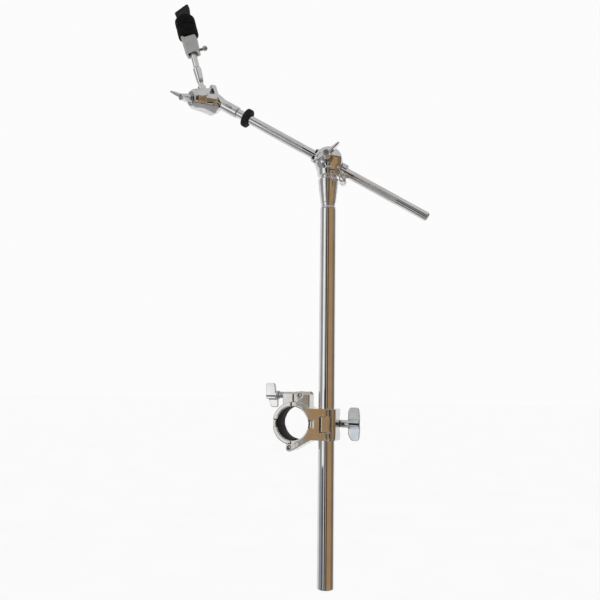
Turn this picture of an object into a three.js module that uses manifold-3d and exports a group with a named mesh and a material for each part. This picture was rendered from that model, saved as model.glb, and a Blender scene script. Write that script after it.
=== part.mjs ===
// Cymbal boom arm on a hinged rack clamp. Millimetres, +Z up.
// Origin: centre of the ring that grips the rack tube. The ring's bore runs along Y,
// the upright tube stands along Z at x = POLE_X.
import * as THREE from "three";
import { mergeVertices } from "three/addons/utils/BufferGeometryUtils.js";
import { ConvexGeometry } from "three/addons/geometries/ConvexGeometry.js";
import Module from "manifold-3d";

const wasm = await Module();
wasm.setup();

// Driving dimensions
const RACK_TUBE_RADIUS = 19.05;
const POLE_RADIUS = 9.525;
const POLE_X = 37;
const POLE_BOTTOM = -181;
const POLE_TOP = 254;
const ARM_RADIUS = 5.55;
const ROD_RADIUS = 4;
const GAP = 0.3;
const BOOM_SWING = THREE.MathUtils.degToRad(12);
const ARM_SLOPE = THREE.MathUtils.degToRad(31);
const ROD_LEAN = THREE.MathUtils.degToRad(15.7);

// Rack ring
const RING_INNER = RACK_TUBE_RADIUS + 1.5;
const RING_OUTER = 24.5;
const LIP_RADIUS = RACK_TUBE_RADIUS + 0.25;
const LINER_HALF = 13;
const RING_HALF_WIDTH = 15;
const RING_SEAM_X = -1;
const SEAM_HALF = 0.3;
const HINGE_X = -3;
const HINGE_Z = -27.5;
const KNUCKLE_RADIUS = 4.4;
const KNUCKLE_SPLIT = 5;
const BOLT_Z = 32;
const BOLT_PIVOT_X = 7;
const SWING_BOLT_RADIUS = 4;
const FORK_SLOT = 4.4;
const FORK_HALF = 8.2;

// Pole clamp
const BLOCK_TOP = 17.5;
const BLOCK_BOTTOM = -18;
const BLOCK_HALF_DEPTH = 15;
const POLE_BORE = POLE_RADIUS + 0.2;
const GATE_HINGE_X = 41;
const GATE_HINGE_Y = -11.9;
const GATE_KNUCKLE = 3.1;
const STUD_Y = 13.6;
const STUD_RADIUS = 3;

// Brake
const BRAKE_Z = 314;
const CHEEK_RADIUS = 17.2;
const ARM_Y = 6;
const ARM_LEFT = -156;
const ARM_RIGHT = 138;
const LOCK_S = 26.3;
const LOCK_P = -10.9;

// Tilter, in its own frame: z along the cymbal rod, x along the tilt axis away from the wing nut
const TILT_TURN = THREE.MathUtils.degToRad(42);
const TILTER_U = -157.6;
const TILTER_Z = 399.5;
const HOOD_RADIUS = 15;
const ROD_TURN = THREE.MathUtils.degToRad(-47);

const UNIT_X = new THREE.Vector3(1, 0, 0);
const UNIT_Y = new THREE.Vector3(0, 1, 0);

// A closed geometry as a solid.
function solid(geometry) {
  const bare = geometry.clone();
  bare.deleteAttribute("normal");
  bare.deleteAttribute("uv");
  const merged = geometry.userData.joined ? bare : mergeVertices(bare, 1e-4);
  return new wasm.Manifold(
    new wasm.Mesh({
      numProp: 3,
      vertProperties: merged.attributes.position.array,
      triVerts: new Uint32Array(merged.index.array),
    }),
  );
}

// A solid back as a geometry.
function geometryOf(made) {
  const mesh = made.getMesh();
  const geometry = new THREE.BufferGeometry();
  geometry.setAttribute("position", new THREE.BufferAttribute(mesh.vertProperties, 3));
  geometry.setIndex(new THREE.BufferAttribute(mesh.triVerts, 1));
  geometry.userData.joined = true;
  return geometry;
}

function join(...geometries) {
  return geometryOf(geometries.map(solid).reduce((all, next) => all.add(next)));
}

function cut(geometry, ...tools) {
  return geometryOf(tools.map(solid).reduce((left, tool) => left.subtract(tool), solid(geometry)));
}

function common(geometry, other) {
  return geometryOf(solid(geometry).intersect(solid(other)));
}

// A box from its lowest to its highest corner.
function box(x0, x1, y0, y1, z0, z1) {
  const made = new THREE.BoxGeometry(x1 - x0, y1 - y0, z1 - z0);
  return made.translate((x0 + x1) / 2, (y0 + y1) / 2, (z0 + z1) / 2);
}

function rodX(radius, x0, x1, sides = 24) {
  const made = new THREE.CylinderGeometry(radius, radius, x1 - x0, sides);
  return made.rotateZ(Math.PI / 2).translate((x0 + x1) / 2, 0, 0);
}

function rodY(radius, y0, y1, sides = 24) {
  const made = new THREE.CylinderGeometry(radius, radius, y1 - y0, sides);
  return made.translate(0, (y0 + y1) / 2, 0);
}

function rodZ(radius, z0, z1, sides = 24) {
  const made = new THREE.CylinderGeometry(radius, radius, z1 - z0, sides);
  return made.rotateX(Math.PI / 2).translate(0, 0, (z0 + z1) / 2);
}

// A turned piece about Z: pairs of radius and height, from the lowest point of the axis to the highest.
function turned(pairs, sides = 32) {
  const profile = pairs.map(([radius, height]) => new THREE.Vector2(radius, height));
  return new THREE.LatheGeometry(profile, sides).rotateX(Math.PI / 2);
}

// A flat outline of x and z extruded along Y.
function plateY(shape, y0, y1) {
  const made = new THREE.ExtrudeGeometry(shape, { depth: y1 - y0, bevelEnabled: false, curveSegments: 8 });
  return made.rotateX(Math.PI / 2).translate(0, y1, 0);
}

// A flat outline of y and z extruded along X.
function plateX(shape, x0, x1) {
  const made = new THREE.ExtrudeGeometry(shape, { depth: x1 - x0, bevelEnabled: false, curveSegments: 10 });
  return made.rotateX(Math.PI / 2).rotateZ(Math.PI / 2).translate(x0, 0, 0);
}

// A rounded rectangle.
function roundedRect(x0, x1, y0, y1, radius) {
  const shape = new THREE.Shape();
  shape.moveTo(x0 + radius, y0);
  shape.lineTo(x1 - radius, y0);
  shape.absarc(x1 - radius, y0 + radius, radius, -Math.PI / 2, 0, false);
  shape.lineTo(x1, y1 - radius);
  shape.absarc(x1 - radius, y1 - radius, radius, 0, Math.PI / 2, false);
  shape.lineTo(x0 + radius, y1);
  shape.absarc(x0 + radius, y1 - radius, radius, Math.PI / 2, Math.PI, false);
  shape.lineTo(x0, y0 + radius);
  shape.absarc(x0 + radius, y0 + radius, radius, Math.PI, Math.PI * 1.5, false);
  return shape;
}

// A wing nut along +X: a hub with a through bore and two wings in the XZ plane.
// Flared wings leave a valley between them, plain ones make one barrel-shaped paddle.
function wingNut({ hub, hubLength, bore, span, wingStart, length, thickness, flared = true }) {
  const body = join(rodX(hub, 0, hubLength), rodX(hub * 0.8, hubLength - 1, length - 2));
  const wing = new THREE.Shape();
  if (!flared) {
    wing.moveTo(wingStart, -span * 0.6);
    wing.lineTo(wingStart, span * 0.6);
    wing.quadraticCurveTo(wingStart, span, wingStart + 4, span);
    wing.lineTo(length - 4.5, span);
    wing.quadraticCurveTo(length - 2, span, length - 1.5, span * 0.75);
    wing.quadraticCurveTo(length, 0, length - 1.5, -span * 0.75);
    wing.quadraticCurveTo(length - 2, -span, length - 4.5, -span);
    wing.lineTo(wingStart + 5, -span);
    wing.quadraticCurveTo(wingStart + 2.5, -span, wingStart, -span * 0.6);
    const paddle = plateY(wing, -thickness / 2, thickness / 2);
    return cut(join(body, paddle), rodX(bore, -1, length + 1, 16));
  }
  const tip = span - 1.5;
  wing.moveTo(wingStart, -hub * 0.7);
  wing.lineTo(wingStart, hub * 0.7);
  wing.quadraticCurveTo(wingStart + 1, span * 0.5, wingStart + 6, tip);
  wing.quadraticCurveTo(wingStart + 7.5, span + 0.3, length - 1.5, span - 0.2);
  wing.quadraticCurveTo(length + 0.3, span - 0.8, length - 0.3, span - 2.6);
  wing.quadraticCurveTo(length - 1.8, span * 0.45, length - 4, 0);
  wing.quadraticCurveTo(length - 1.8, -span * 0.45, length - 0.3, 2.6 - span);
  wing.quadraticCurveTo(length + 0.3, 0.8 - span, length - 1.5, 0.2 - span);
  wing.quadraticCurveTo(wingStart + 7.5, -span - 0.3, wingStart + 6, -tip);
  wing.quadraticCurveTo(wingStart + 1, -span * 0.5, wingStart, -hub * 0.7);
  const wings = plateY(wing, -thickness / 2, thickness / 2);
  return cut(join(body, wings), rodX(bore, -1, length + 1, 16));
}

// The wing nut of the ring: one wing stands before its hub and the other behind it.
function offsetWingNut() {
  const near = new THREE.Shape();
  near.moveTo(1, 4.6);
  near.lineTo(2.2, -11);
  near.quadraticCurveTo(2.6, -14, 5.2, -14);
  near.lineTo(11.5, -14);
  near.quadraticCurveTo(14.3, -14, 14.4, -11);
  near.lineTo(13.9, 4.6);
  const far = new THREE.Shape();
  far.moveTo(0.6, -4.6);
  far.lineTo(14.2, -4.6);
  far.lineTo(14.2, 2);
  far.lineTo(10.2, 12.6);
  far.quadraticCurveTo(9.6, 14.6, 7.5, 14.6);
  far.lineTo(2.6, 14.6);
  far.quadraticCurveTo(0.7, 14.6, 0.6, 12);
  return cut(
    join(plateY(near, -4.6, -1.2), plateY(far, 1.2, 4.6), rodX(5, 0, 13.6)),
    rodX(SWING_BOLT_RADIUS + 0.2, -1, 20, 16),
  );
}

// A ring washer along X.
function washer(outer, inner, thickness) {
  return cut(rodX(outer, 0, thickness), rodX(inner, -1, thickness + 1, 20));
}

// A coil spring along X.
function coil(radius, wire, turns, length) {
  const points = [];
  const steps = turns * 12;
  for (let i = 0; i <= steps; i++) {
    const angle = (i / 12) * Math.PI * 2;
    points.push(
      new THREE.Vector3((length * i) / steps, radius * Math.cos(angle), radius * Math.sin(angle)),
    );
  }
  const section = new THREE.Shape();
  section.absarc(0, 0, wire, 0, Math.PI * 2, false);
  return new THREE.ExtrudeGeometry(section, {
    steps,
    curveSegments: 3,
    bevelEnabled: false,
    extrudePath: new THREE.CatmullRomCurve3(points),
  });
}

function piece(parent, name, geometry, color, roughness, metalness) {
  const material = new THREE.MeshStandardMaterial({ color, roughness, metalness });
  const mesh = new THREE.Mesh(geometry, material);
  mesh.name = name;
  parent.add(mesh);
  return mesh;
}

const chrome = (parent, name, geometry) => piece(parent, name, geometry, 0xd6d8da, 0.08, 1);
const casting = (parent, name, geometry) => piece(parent, name, geometry, 0xb4b3ae, 0.38, 0.95);
const steel = (parent, name, geometry) => piece(parent, name, geometry, 0x9a9b9c, 0.3, 1);
const rubber = (parent, name, geometry) => piece(parent, name, geometry, 0x141414, 0.8, 0);
const felt = (parent, name, geometry) => piece(parent, name, geometry, 0x0c0c0d, 1, 0);
const plastic = (parent, name, geometry) => piece(parent, name, geometry, 0x232326, 0.5, 0);

const group = new THREE.Group();

// ---- Rack clamp -------------------------------------------------------------------------------

// What is cut from the ring: its bore with a lip at each face, and a notch in each face.
function ringBore(side) {
  const bores = [
    rodY(LIP_RADIUS, -RING_HALF_WIDTH - 1, RING_HALF_WIDTH + 1, 48),
    rodY(RING_INNER, -LINER_HALF, LINER_HALF, 48),
  ];
  const notches = [-1, 1].map((face) => {
    const y = face * (RING_HALF_WIDTH + 0.4);
    return box(side * 22 - 3.9, side * 22 + 3.9, y - 2.6, y + 2.6, -4.5, 4.5);
  });
  return [...bores, ...notches];
}

// The two cheeks of a fork, their outline given in x and z, with a barrel-shaped top.
function forkCheeks(shape) {
  const cheeks = join(plateY(shape, -FORK_HALF, -FORK_SLOT), plateY(shape, FORK_SLOT, FORK_HALF));
  const barrel = rodX(FORK_HALF + 0.3, -40, 40, 40).scale(1, 1, 0.64).translate(0, 0, BOLT_Z);
  return common(cheeks, join(barrel, box(-40, 40, -20, 20, 0, BOLT_Z)));
}

function clampSaddle() {
  const half = RING_SEAM_X + SEAM_HALF;
  const round = rodY(RING_OUTER, -RING_HALF_WIDTH, RING_HALF_WIDTH, 48);
  const ring = common(round, box(half, 40, -20, 20, -40, 40));
  const knuckle = rodY(KNUCKLE_RADIUS, -RING_HALF_WIDTH, RING_HALF_WIDTH).translate(HINGE_X, 0, HINGE_Z);
  const block = box(19, POLE_X + 0.3, -BLOCK_HALF_DEPTH, BLOCK_HALF_DEPTH, BLOCK_BOTTOM, BLOCK_TOP);
  const gusset = new THREE.Shape();
  gusset.moveTo(HINGE_X + 2, HINGE_Z - 3.9);
  gusset.lineTo(23, BLOCK_BOTTOM);
  gusset.lineTo(26, BLOCK_BOTTOM);
  gusset.lineTo(26, BLOCK_TOP);
  gusset.lineTo(20, BLOCK_TOP);
  gusset.lineTo(4, 24.8);
  gusset.lineTo(half, 10);
  gusset.lineTo(half, HINGE_Z - 2);
  const lug = forkCheeks(roundedRect(half, 18.7, 14, BOLT_Z + 5.2, 4.5).clone());
  const lugRoot = box(half, 18.7, -FORK_HALF, FORK_HALF, 12, BOLT_Z - 5.6);
  const lugBack = box(13.2, 18.7, -FORK_HALF, FORK_HALF, 14, BOLT_Z + 1);
  const prongs = [
    [9, BLOCK_TOP],
    [BLOCK_BOTTOM, -9.2],
  ].map(([z0, z1]) =>
    join(
      box(30, GATE_HINGE_X, -BLOCK_HALF_DEPTH, -10, z0, z1),
      rodZ(GATE_KNUCKLE, z0, z1).translate(GATE_HINGE_X, GATE_HINGE_Y, 0),
    ),
  );
  const studLug = rodX(8, 24, POLE_X + 0.3).translate(0, STUD_Y, 0);
  return cut(
    join(ring, knuckle, block, plateY(gusset, -RING_HALF_WIDTH, RING_HALF_WIDTH), lug, lugRoot, lugBack, ...prongs, studLug),
    ...ringBore(1),
    rodY(KNUCKLE_RADIUS + GAP, -KNUCKLE_SPLIT - 0.2, KNUCKLE_SPLIT + 0.2).translate(HINGE_X, 0, HINGE_Z),
    rodY(2.4, -20, 20, 16).translate(HINGE_X, 0, HINGE_Z),
    rodY(2.3, -20, 20, 16).translate(BOLT_PIVOT_X, 0, BOLT_Z),
    box(33.5, 42, -20, -8.4, -9.2, 9),
    rodZ(POLE_BORE, -30, 30, 40).translate(POLE_X, 0, 0),
    rodX(STUD_RADIUS + 0.15, 26, 60, 16).translate(0, STUD_Y, 0),
    rodZ(1.75, -17, 30, 12).translate(GATE_HINGE_X, GATE_HINGE_Y, 0),
  );
}

function ringJaw() {
  const half = RING_SEAM_X - SEAM_HALF;
  const round = rodY(RING_OUTER, -RING_HALF_WIDTH, RING_HALF_WIDTH, 48);
  const ring = common(round, box(-40, half, -20, 20, -40, 40));
  const clearance = (y0, y1) => rodY(KNUCKLE_RADIUS + GAP, y0, y1).translate(HINGE_X, 0, HINGE_Z);
  const foot = box(-11, half, -KNUCKLE_SPLIT, KNUCKLE_SPLIT, HINGE_Z - 1.5, -19);
  const knuckle = rodY(KNUCKLE_RADIUS, -KNUCKLE_SPLIT, KNUCKLE_SPLIT).translate(HINGE_X, 0, HINGE_Z);
  const cheeks = forkCheeks(roundedRect(-14.5, half, 12, BOLT_Z + 4, 2.5));
  const root = box(-14.5, half, -FORK_HALF, FORK_HALF, 12, BOLT_Z - 5);
  return cut(
    join(
      cut(ring, clearance(-20, -KNUCKLE_SPLIT + 0.1), clearance(KNUCKLE_SPLIT - 0.1, 20)),
      foot,
      knuckle,
      cheeks,
      root,
    ),
    ...ringBore(-1),
    rodY(2.4, -20, 20, 16).translate(HINGE_X, 0, HINGE_Z),
  );
}

// A rubber strip that lines one half of the bore, between two angles.
function liner(from, to) {
  const shape = new THREE.Shape();
  shape.absarc(0, 0, RING_INNER - 0.15, from, to, false);
  shape.absarc(0, 0, RACK_TUBE_RADIUS + 0.1, to, from, true);
  const made = new THREE.ExtrudeGeometry(shape, {
    depth: 2 * (LINER_HALF - GAP),
    bevelEnabled: false,
    curveSegments: 18,
  });
  return made.rotateX(Math.PI / 2).translate(0, LINER_HALF - GAP, 0);
}

function ringBolt() {
  const eye = rodY(4.9, -SWING_BOLT_RADIUS, SWING_BOLT_RADIUS).translate(BOLT_PIVOT_X, 0, BOLT_Z);
  const shank = rodX(SWING_BOLT_RADIUS, -34, BOLT_PIVOT_X - 2).translate(0, 0, BOLT_Z);
  return cut(join(eye, shank), rodY(2.3, -9, 9, 16).translate(BOLT_PIVOT_X, 0, BOLT_Z));
}

function poleGate() {
  const outline = new THREE.Shape();
  outline.moveTo(37.9, -BLOCK_HALF_DEPTH);
  outline.lineTo(45, -BLOCK_HALF_DEPTH);
  outline.quadraticCurveTo(50.5, -BLOCK_HALF_DEPTH, 50.5, -8);
  outline.lineTo(50.5, 8);
  outline.quadraticCurveTo(50.5, BLOCK_HALF_DEPTH, 45, BLOCK_HALF_DEPTH);
  outline.lineTo(37.9, BLOCK_HALF_DEPTH);
  const body = new THREE.ExtrudeGeometry(outline, {
    depth: BLOCK_TOP - BLOCK_BOTTOM,
    bevelEnabled: false,
    curveSegments: 8,
  }).translate(0, 0, BLOCK_BOTTOM);
  const tongue = join(
    box(GATE_HINGE_X, 46, -BLOCK_HALF_DEPTH, -10, -8.9, 8.7),
    box(35.4, GATE_HINGE_X, -BLOCK_HALF_DEPTH, -12.4, -8.9, 8.7),
    rodZ(GATE_KNUCKLE, -8.9, 8.7).translate(GATE_HINGE_X, GATE_HINGE_Y, 0),
  );
  const boss = rodX(9, 37.9, 46).translate(0, STUD_Y, 0);
  const clear = [];
  for (const [z0, z1] of [
    [8.7, 30],
    [-30, -8.9],
  ])
    clear.push(
      rodZ(GATE_KNUCKLE + GAP, z0, z1).translate(GATE_HINGE_X, GATE_HINGE_Y, 0),
      box(30, 41.5, -20, -9.5, z0, z1),
    );
  return cut(
    join(cut(body, ...clear), tongue, boss),
    rodZ(POLE_BORE, -30, 30, 40).translate(POLE_X, 0, 0),
    rodX(STUD_RADIUS + 0.8, 30, 60, 20).translate(0, STUD_Y, 0),
    rodX(9, 46, 60, 32).translate(0, STUD_Y, 0),
    rodZ(1.75, -30, 30, 12).translate(GATE_HINGE_X, GATE_HINGE_Y, 0),
  );
}

function addClamp(parent) {
  casting(parent, "clamp_saddle", clampSaddle());
  casting(parent, "ring_jaw", ringJaw());
  steel(
    parent,
    "ring_hinge_pin",
    rodY(2.2, -13, 13, 16).translate(HINGE_X, 0, HINGE_Z),
  );
  rubber(parent, "saddle_liner", liner(-1.55, 1.55));
  rubber(parent, "jaw_liner", liner(1.7, 4.55));
  steel(parent, "ring_bolt", ringBolt());
  steel(parent, "ring_bolt_pin", rodY(2.1, -6.8, 6.8, 16).translate(BOLT_PIVOT_X, 0, BOLT_Z));
  const ringNut = new THREE.Group();
  ringNut.position.set(-22, 0, BOLT_Z);
  ringNut.rotation.y = Math.PI;
  parent.add(ringNut);
  steel(ringNut, "ring_washer", washer(5, SWING_BOLT_RADIUS + 0.2, 1.2));
  const ringWing = offsetWingNut();
  chrome(ringNut, "ring_wing_nut", ringWing.translate(1.5, 0, 0));
  casting(parent, "pole_gate", poleGate());
  steel(
    parent,
    "gate_hinge_pin",
    rodZ(1.6, -16.6, BLOCK_TOP, 12).translate(GATE_HINGE_X, GATE_HINGE_Y, 0),
  );
  steel(parent, "pole_stud", rodX(STUD_RADIUS, 26.3, 66, 20).translate(0, STUD_Y, 0));
  const poleNut = new THREE.Group();
  poleNut.position.set(46.3, STUD_Y, 0);
  parent.add(poleNut);
  steel(poleNut, "pole_washer", washer(7, STUD_RADIUS + 0.2, 1.4));
  const poleWing = wingNut({
    hub: 4.6,
    hubLength: 13,
    bore: STUD_RADIUS + 0.2,
    span: 19,
    wingStart: 11.3,
    length: 26.2,
    thickness: 3.4,
    flared: false,
  });
  chrome(poleNut, "pole_wing_nut", poleWing.translate(1.7, 0, 0));
}

// ---- Upright tube and brake ---------------------------------------------------------------------

function poleTube() {
  const outer = turned([
    [0, POLE_BOTTOM],
    [POLE_RADIUS - 0.5, POLE_BOTTOM],
    [POLE_RADIUS, POLE_BOTTOM + 0.6],
    [POLE_RADIUS, POLE_TOP],
    [0, POLE_TOP],
  ]);
  return cut(outer, rodZ(8.1, POLE_BOTTOM - 1, POLE_TOP + 1, 32));
}

// A slice of a ball about the tilt axis: a cheek of the brake between two values of y.
function cheek(y0, y1, ballRadius) {
  const ball = new THREE.SphereGeometry(ballRadius, 32, 20);
  return common(rodY(CHEEK_RADIUS, y0, y1, 40), ball);
}

function brakeBase() {
  const stem = turned([
    [0, 228],
    [7.4, 228],
    [7.9, 229],
    [7.9, POLE_TOP + GAP],
    [9.5, POLE_TOP + GAP],
    [9.5, POLE_TOP + 1.2],
    [8.6, POLE_TOP + 2.2],
    [8.6, 260],
    [9.3, 262],
    [12.5, 290],
    [12.1, 291],
    [0, 291],
  ]);
  const neck = common(rodZ(10.6, 290, 300), box(-20, 20, -20, -0.3, 289, 301));
  const bowl = common(rodZ(13.4, 294, 306), box(-20, 20, -20, -0.3, 293, 307));
  const face = turned([
    [0, 0.3],
    [CHEEK_RADIUS, 0.3],
    [CHEEK_RADIUS, 4.6],
    [16.6, 7.4],
    [15.2, 10],
    [12.9, 12.7],
    [10.4, 14.9],
    [8, 16.6],
    [0, 16.6],
  ], 40).rotateX(Math.PI / 2).translate(0, 0, BRAKE_Z);
  return cut(
    join(stem, neck, bowl, face),
    rodY(3.3, -30, 5, 20).translate(0, 0, BRAKE_Z),
    rodY(6.9, -7.4, 5, 24).translate(0, 0, BRAKE_Z),
  );
}

// The head is drawn with x along the arm.
function brakeHead() {
  const half = cheek(0.3, 17, 21.5);
  const sleeve = rodX(8.8, -21.7, 24).translate(0, ARM_Y, 0);
  const lug = rodY(4.4, -3.5, 15.5).translate(LOCK_S, 0, LOCK_P);
  const web = new ConvexGeometry(
    [0.4, 15].flatMap((y) =>
      [
        [14, -2],
        [26, -2],
        [30.4, LOCK_P],
        [26, LOCK_P - 4],
        [21, LOCK_P],
      ].map(([x, z]) => new THREE.Vector3(x, y, z)),
    ),
  );
  const behind = box(-40, 40, 0.3, 40, -40, 40);
  return cut(
    join(common(join(half, sleeve), behind), web, lug),
    rodX(ARM_RADIUS + 0.2, -40, 40, 28).translate(0, ARM_Y, 0),
    rodX(8.8, -3.8, 3.8).translate(0, ARM_Y, 0),
    box(-3.8, 3.8, 0, ARM_Y, -8.8, 8.8),
    box(12, 40, ARM_Y - 0.6, ARM_Y + 0.6, -30, -3),
    rodY(2.35, -30, 40, 16).translate(LOCK_S, 0, LOCK_P),
  );
}

function brakeEyeBolt() {
  const eye = rodX(8.4, -3.3, 3.3).translate(0, ARM_Y, 0);
  const shank = rodY(STUD_RADIUS, -33, -1, 20);
  return cut(join(eye, shank), rodX(ARM_RADIUS + 0.2, -9, 9, 28).translate(0, ARM_Y, 0));
}

// The small screw of the pinch lug, along -Y from the lug.
function armLockScrew() {
  const shank = rodY(2.1, -5.5, 15, 16);
  const stem = rodY(3.4, -17, -4.3, 20);
  const dome = new THREE.SphereGeometry(3.4, 16, 10).translate(0, -17, 0);
  const wings = plateY(roundedRect(-11, 11, -3, 3, 2.9), -1.2, 1.2).rotateX(Math.PI / 2).translate(0, -18, 0);
  return join(shank, stem, dome, wings);
}

function boomArm() {
  const bar = turned([
    [0, ARM_LEFT],
    [ARM_RADIUS, ARM_LEFT],
    [ARM_RADIUS, ARM_RIGHT - 1.6],
    [ARM_RADIUS - 1.6, ARM_RIGHT],
    [0, ARM_RIGHT],
  ]);
  return cut(bar, rodZ(4, ARM_LEFT - 1, ARM_RIGHT - 4, 20)).rotateY(Math.PI / 2);
}

function armRing() {
  const body = turned([
    [0, -3.1],
    [11, -3.1],
    [11.75, -2.4],
    [11.75, 2.4],
    [11, 3.1],
    [8.5, 4.1],
    [0, 4.1],
  ]);
  return cut(body, rodZ(ARM_RADIUS + 0.15, -9, 9, 24)).rotateY(Math.PI / 2);
}

function addBrake(boom) {
  chrome(boom, "brake_base", brakeBase());
  const spring = coil(4.2, 0.55, 3, 3.4).rotateZ(-Math.PI / 2);
  steel(boom, "brake_spring", spring.translate(0, -3.3, BRAKE_Z));
  const nut = new THREE.Group();
  nut.position.set(0, -16.9, BRAKE_Z);
  nut.rotation.set(0, THREE.MathUtils.degToRad(-36.4), 0);
  boom.add(nut);
  const forward = new THREE.Group();
  forward.quaternion.setFromUnitVectors(UNIT_X, new THREE.Vector3(0, -1, 0));
  nut.add(forward);
  steel(forward, "brake_washer", washer(7, STUD_RADIUS + 0.2, 1.4));
  const brakeWing = wingNut({
    hub: 5.2,
    hubLength: 6,
    bore: STUD_RADIUS + 0.2,
    span: 19.4,
    wingStart: 3,
    length: 15.4,
    thickness: 3.2,
  });
  const wing = chrome(forward, "brake_wing_nut", brakeWing.rotateX(Math.PI / 2));
  wing.position.x = 1.7;
  const tilt = new THREE.Group();
  tilt.position.z = BRAKE_Z;
  tilt.rotation.y = ARM_SLOPE;
  boom.add(tilt);
  chrome(tilt, "brake_head", brakeHead());
  steel(tilt, "brake_eye_bolt", brakeEyeBolt());
  const lock = chrome(tilt, "arm_lock_screw", armLockScrew().rotateY(THREE.MathUtils.degToRad(35)));
  lock.position.set(LOCK_S, 0, LOCK_P);
  const arm = chrome(tilt, "boom_arm", boomArm());
  arm.position.y = ARM_Y;
  const ring = rubber(tilt, "arm_ring", armRing());
  ring.position.set(-121, ARM_Y, 0);
  return tilt;
}

// ---- Tilter -------------------------------------------------------------------------------------

// The tilter's frame in the boom's.
function tilterMatrix() {
  const rod = new THREE.Vector3(-Math.sin(ROD_LEAN), 0, Math.cos(ROD_LEAN));
  const level = new THREE.Vector3(Math.sin(TILT_TURN), Math.cos(TILT_TURN), 0);
  const side = new THREE.Vector3().crossVectors(rod, level).normalize();
  const axis = new THREE.Vector3().crossVectors(side, rod).normalize();
  const made = new THREE.Matrix4().makeBasis(axis, side, rod);
  return made.setPosition(TILTER_U, 0, TILTER_Z);
}

// The arm's frame in the boom's.
function armMatrix() {
  const made = new THREE.Matrix4().makeRotationY(ARM_SLOPE);
  return made.setPosition(0, 0, BRAKE_Z);
}

function ringOfPoints(radius, x, matrix, y = 0) {
  return Array.from({ length: 16 }, (_, i) => {
    const angle = (i / 16) * Math.PI * 2;
    return new THREE.Vector3(x, y + radius * Math.cos(angle), radius * Math.sin(angle)).applyMatrix4(matrix);
  });
}

function tilterBase() {
  const tilter = tilterMatrix();
  const arm = armMatrix();
  const fin = new THREE.Shape();
  fin.moveTo(-9.5, -10);
  fin.lineTo(-8.5, 17);
  fin.quadraticCurveTo(-8, 21.5, -4.5, 21);
  fin.quadraticCurveTo(0, 20, 4.5, 15);
  fin.absarc(0, 0, 14.5, 1.2, -Math.PI * 0.75, true);
  const plate = plateX(fin, 11, 17);
  const drum = rodX(10.8, -16.9, 12);
  const grooves = Array.from({ length: 12 }, (_, i) => {
    const groove = box(-20, -6, -0.9, 0.9, 10.1, 12);
    return groove.rotateX((i / 12) * Math.PI * 2);
  });
  const fixed = cut(join(plate, drum), ...grooves).applyMatrix4(tilter);
  const sleeveStart = -158.4;
  const sleeveEnd = -135.3;
  const sleeve = rodX(7, sleeveStart, sleeveEnd).translate(0, ARM_Y, 0).applyMatrix4(arm);
  const foot = [
    ...[
      [-9.3, -9.5],
      [-8.6, 8],
      [2, 4],
      [2, -12],
    ].flatMap(([y, z]) => [11.2, 16.8].map((x) => new THREE.Vector3(x, y, z).applyMatrix4(tilter))),
    ...ringOfPoints(6.9, sleeveStart + 1, arm, ARM_Y),
  ];
  const blend = new ConvexGeometry(foot);
  return cut(
    join(fixed, blend, sleeve),
    rodX(ARM_RADIUS + 0.2, sleeveStart + 1.6, 0, 28).translate(0, ARM_Y, 0).applyMatrix4(arm),
    rodX(3.2, -30, 40, 20).applyMatrix4(tilter),
    rodX(5.4, -20, -11, 20).applyMatrix4(tilter),
    rodX(6.5, 17.15, 40, 24).applyMatrix4(tilter),
    box(-151, -143, -30, ARM_Y, -0.9, 0.9).applyMatrix4(arm),
  );
}

function tilterHead() {
  const dome = turned(
    [
      [0, -21.5],
      [9, -21.5],
      [12.2, -17.5],
      [13.4, -11],
      [HOOD_RADIUS, 0],
      [17.6, 10.3],
      [14.6, 10.3],
      [0, 10.3],
    ],
    36,
  ).rotateY(Math.PI / 2);
  const opening = new THREE.Shape();
  opening.moveTo(-16.8, -6.6);
  opening.lineTo(-16.8, -4.4);
  opening.bezierCurveTo(-9, -2.6, -5, -1.4, -1, 3);
  opening.bezierCurveTo(2, 7, 5, 13, 12, 14.6);
  opening.lineTo(12, -12.4);
  opening.bezierCurveTo(2, -11.8, -8, -9.6, -16.8, -6.6);
  const boss = rodZ(5.4, 12.4, 19.8);
  return cut(
    join(cut(dome, plateY(opening, -30, 0)), boss),
    rodX(11.3, -17.5, 20, 36),
    rodX(3.3, -40, 0, 20),
    rodZ(3.2, 0, 30, 20),
  );
}

function cymbalRod() {
  return turned([
    [0, 12.2],
    [3, 12.2],
    [3, 20.1],
    [3.5, 20.1],
    [3.5, 24],
    [4.6, 27.6],
    [4.2, 28],
    [4.2, 28.6],
    [4.7, 29],
    [5.4, 44],
    [ROD_RADIUS, 46.5],
    [ROD_RADIUS, 123.6],
    [ROD_RADIUS - 0.8, 124.4],
    [0, 124.4],
  ], 24);
}

function stopperBlock() {
  const body = new THREE.ExtrudeGeometry(roundedRect(-9.6, 9.6, -8.5, 8.5, 3), {
    depth: 24.4,
    bevelEnabled: false,
    curveSegments: 4,
  }).translate(0, 0, 65.6);
  return cut(
    body,
    box(-6.4, 20, -20, 20, 87.4, 99),
    box(-6.6, 6.6, -5.5, 5.5, 60, 74),
    rodZ(ROD_RADIUS + 0.2, 50, 100, 20),
    rodX(2, 0, 20, 12).translate(0, 0, 69),
  );
}

function stopperScrew() {
  const shank = rodX(1.85, 4.6, 16, 12);
  const head = new THREE.SphereGeometry(3.4, 14, 10).translate(16.6, 0, 0);
  return join(shank, head).translate(0, 0, 69);
}

function feltDisc(z0, z1, chamfer) {
  const disc = turned([
    [0, z0],
    [12.6, z0],
    [13.2, z0 + 0.8],
    [13.2, z1 - chamfer],
    [13.2 - chamfer, z1],
    [0, z1],
  ], 28);
  return cut(disc, rodZ(6, z0 - 1, z1 + 1, 20));
}

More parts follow.
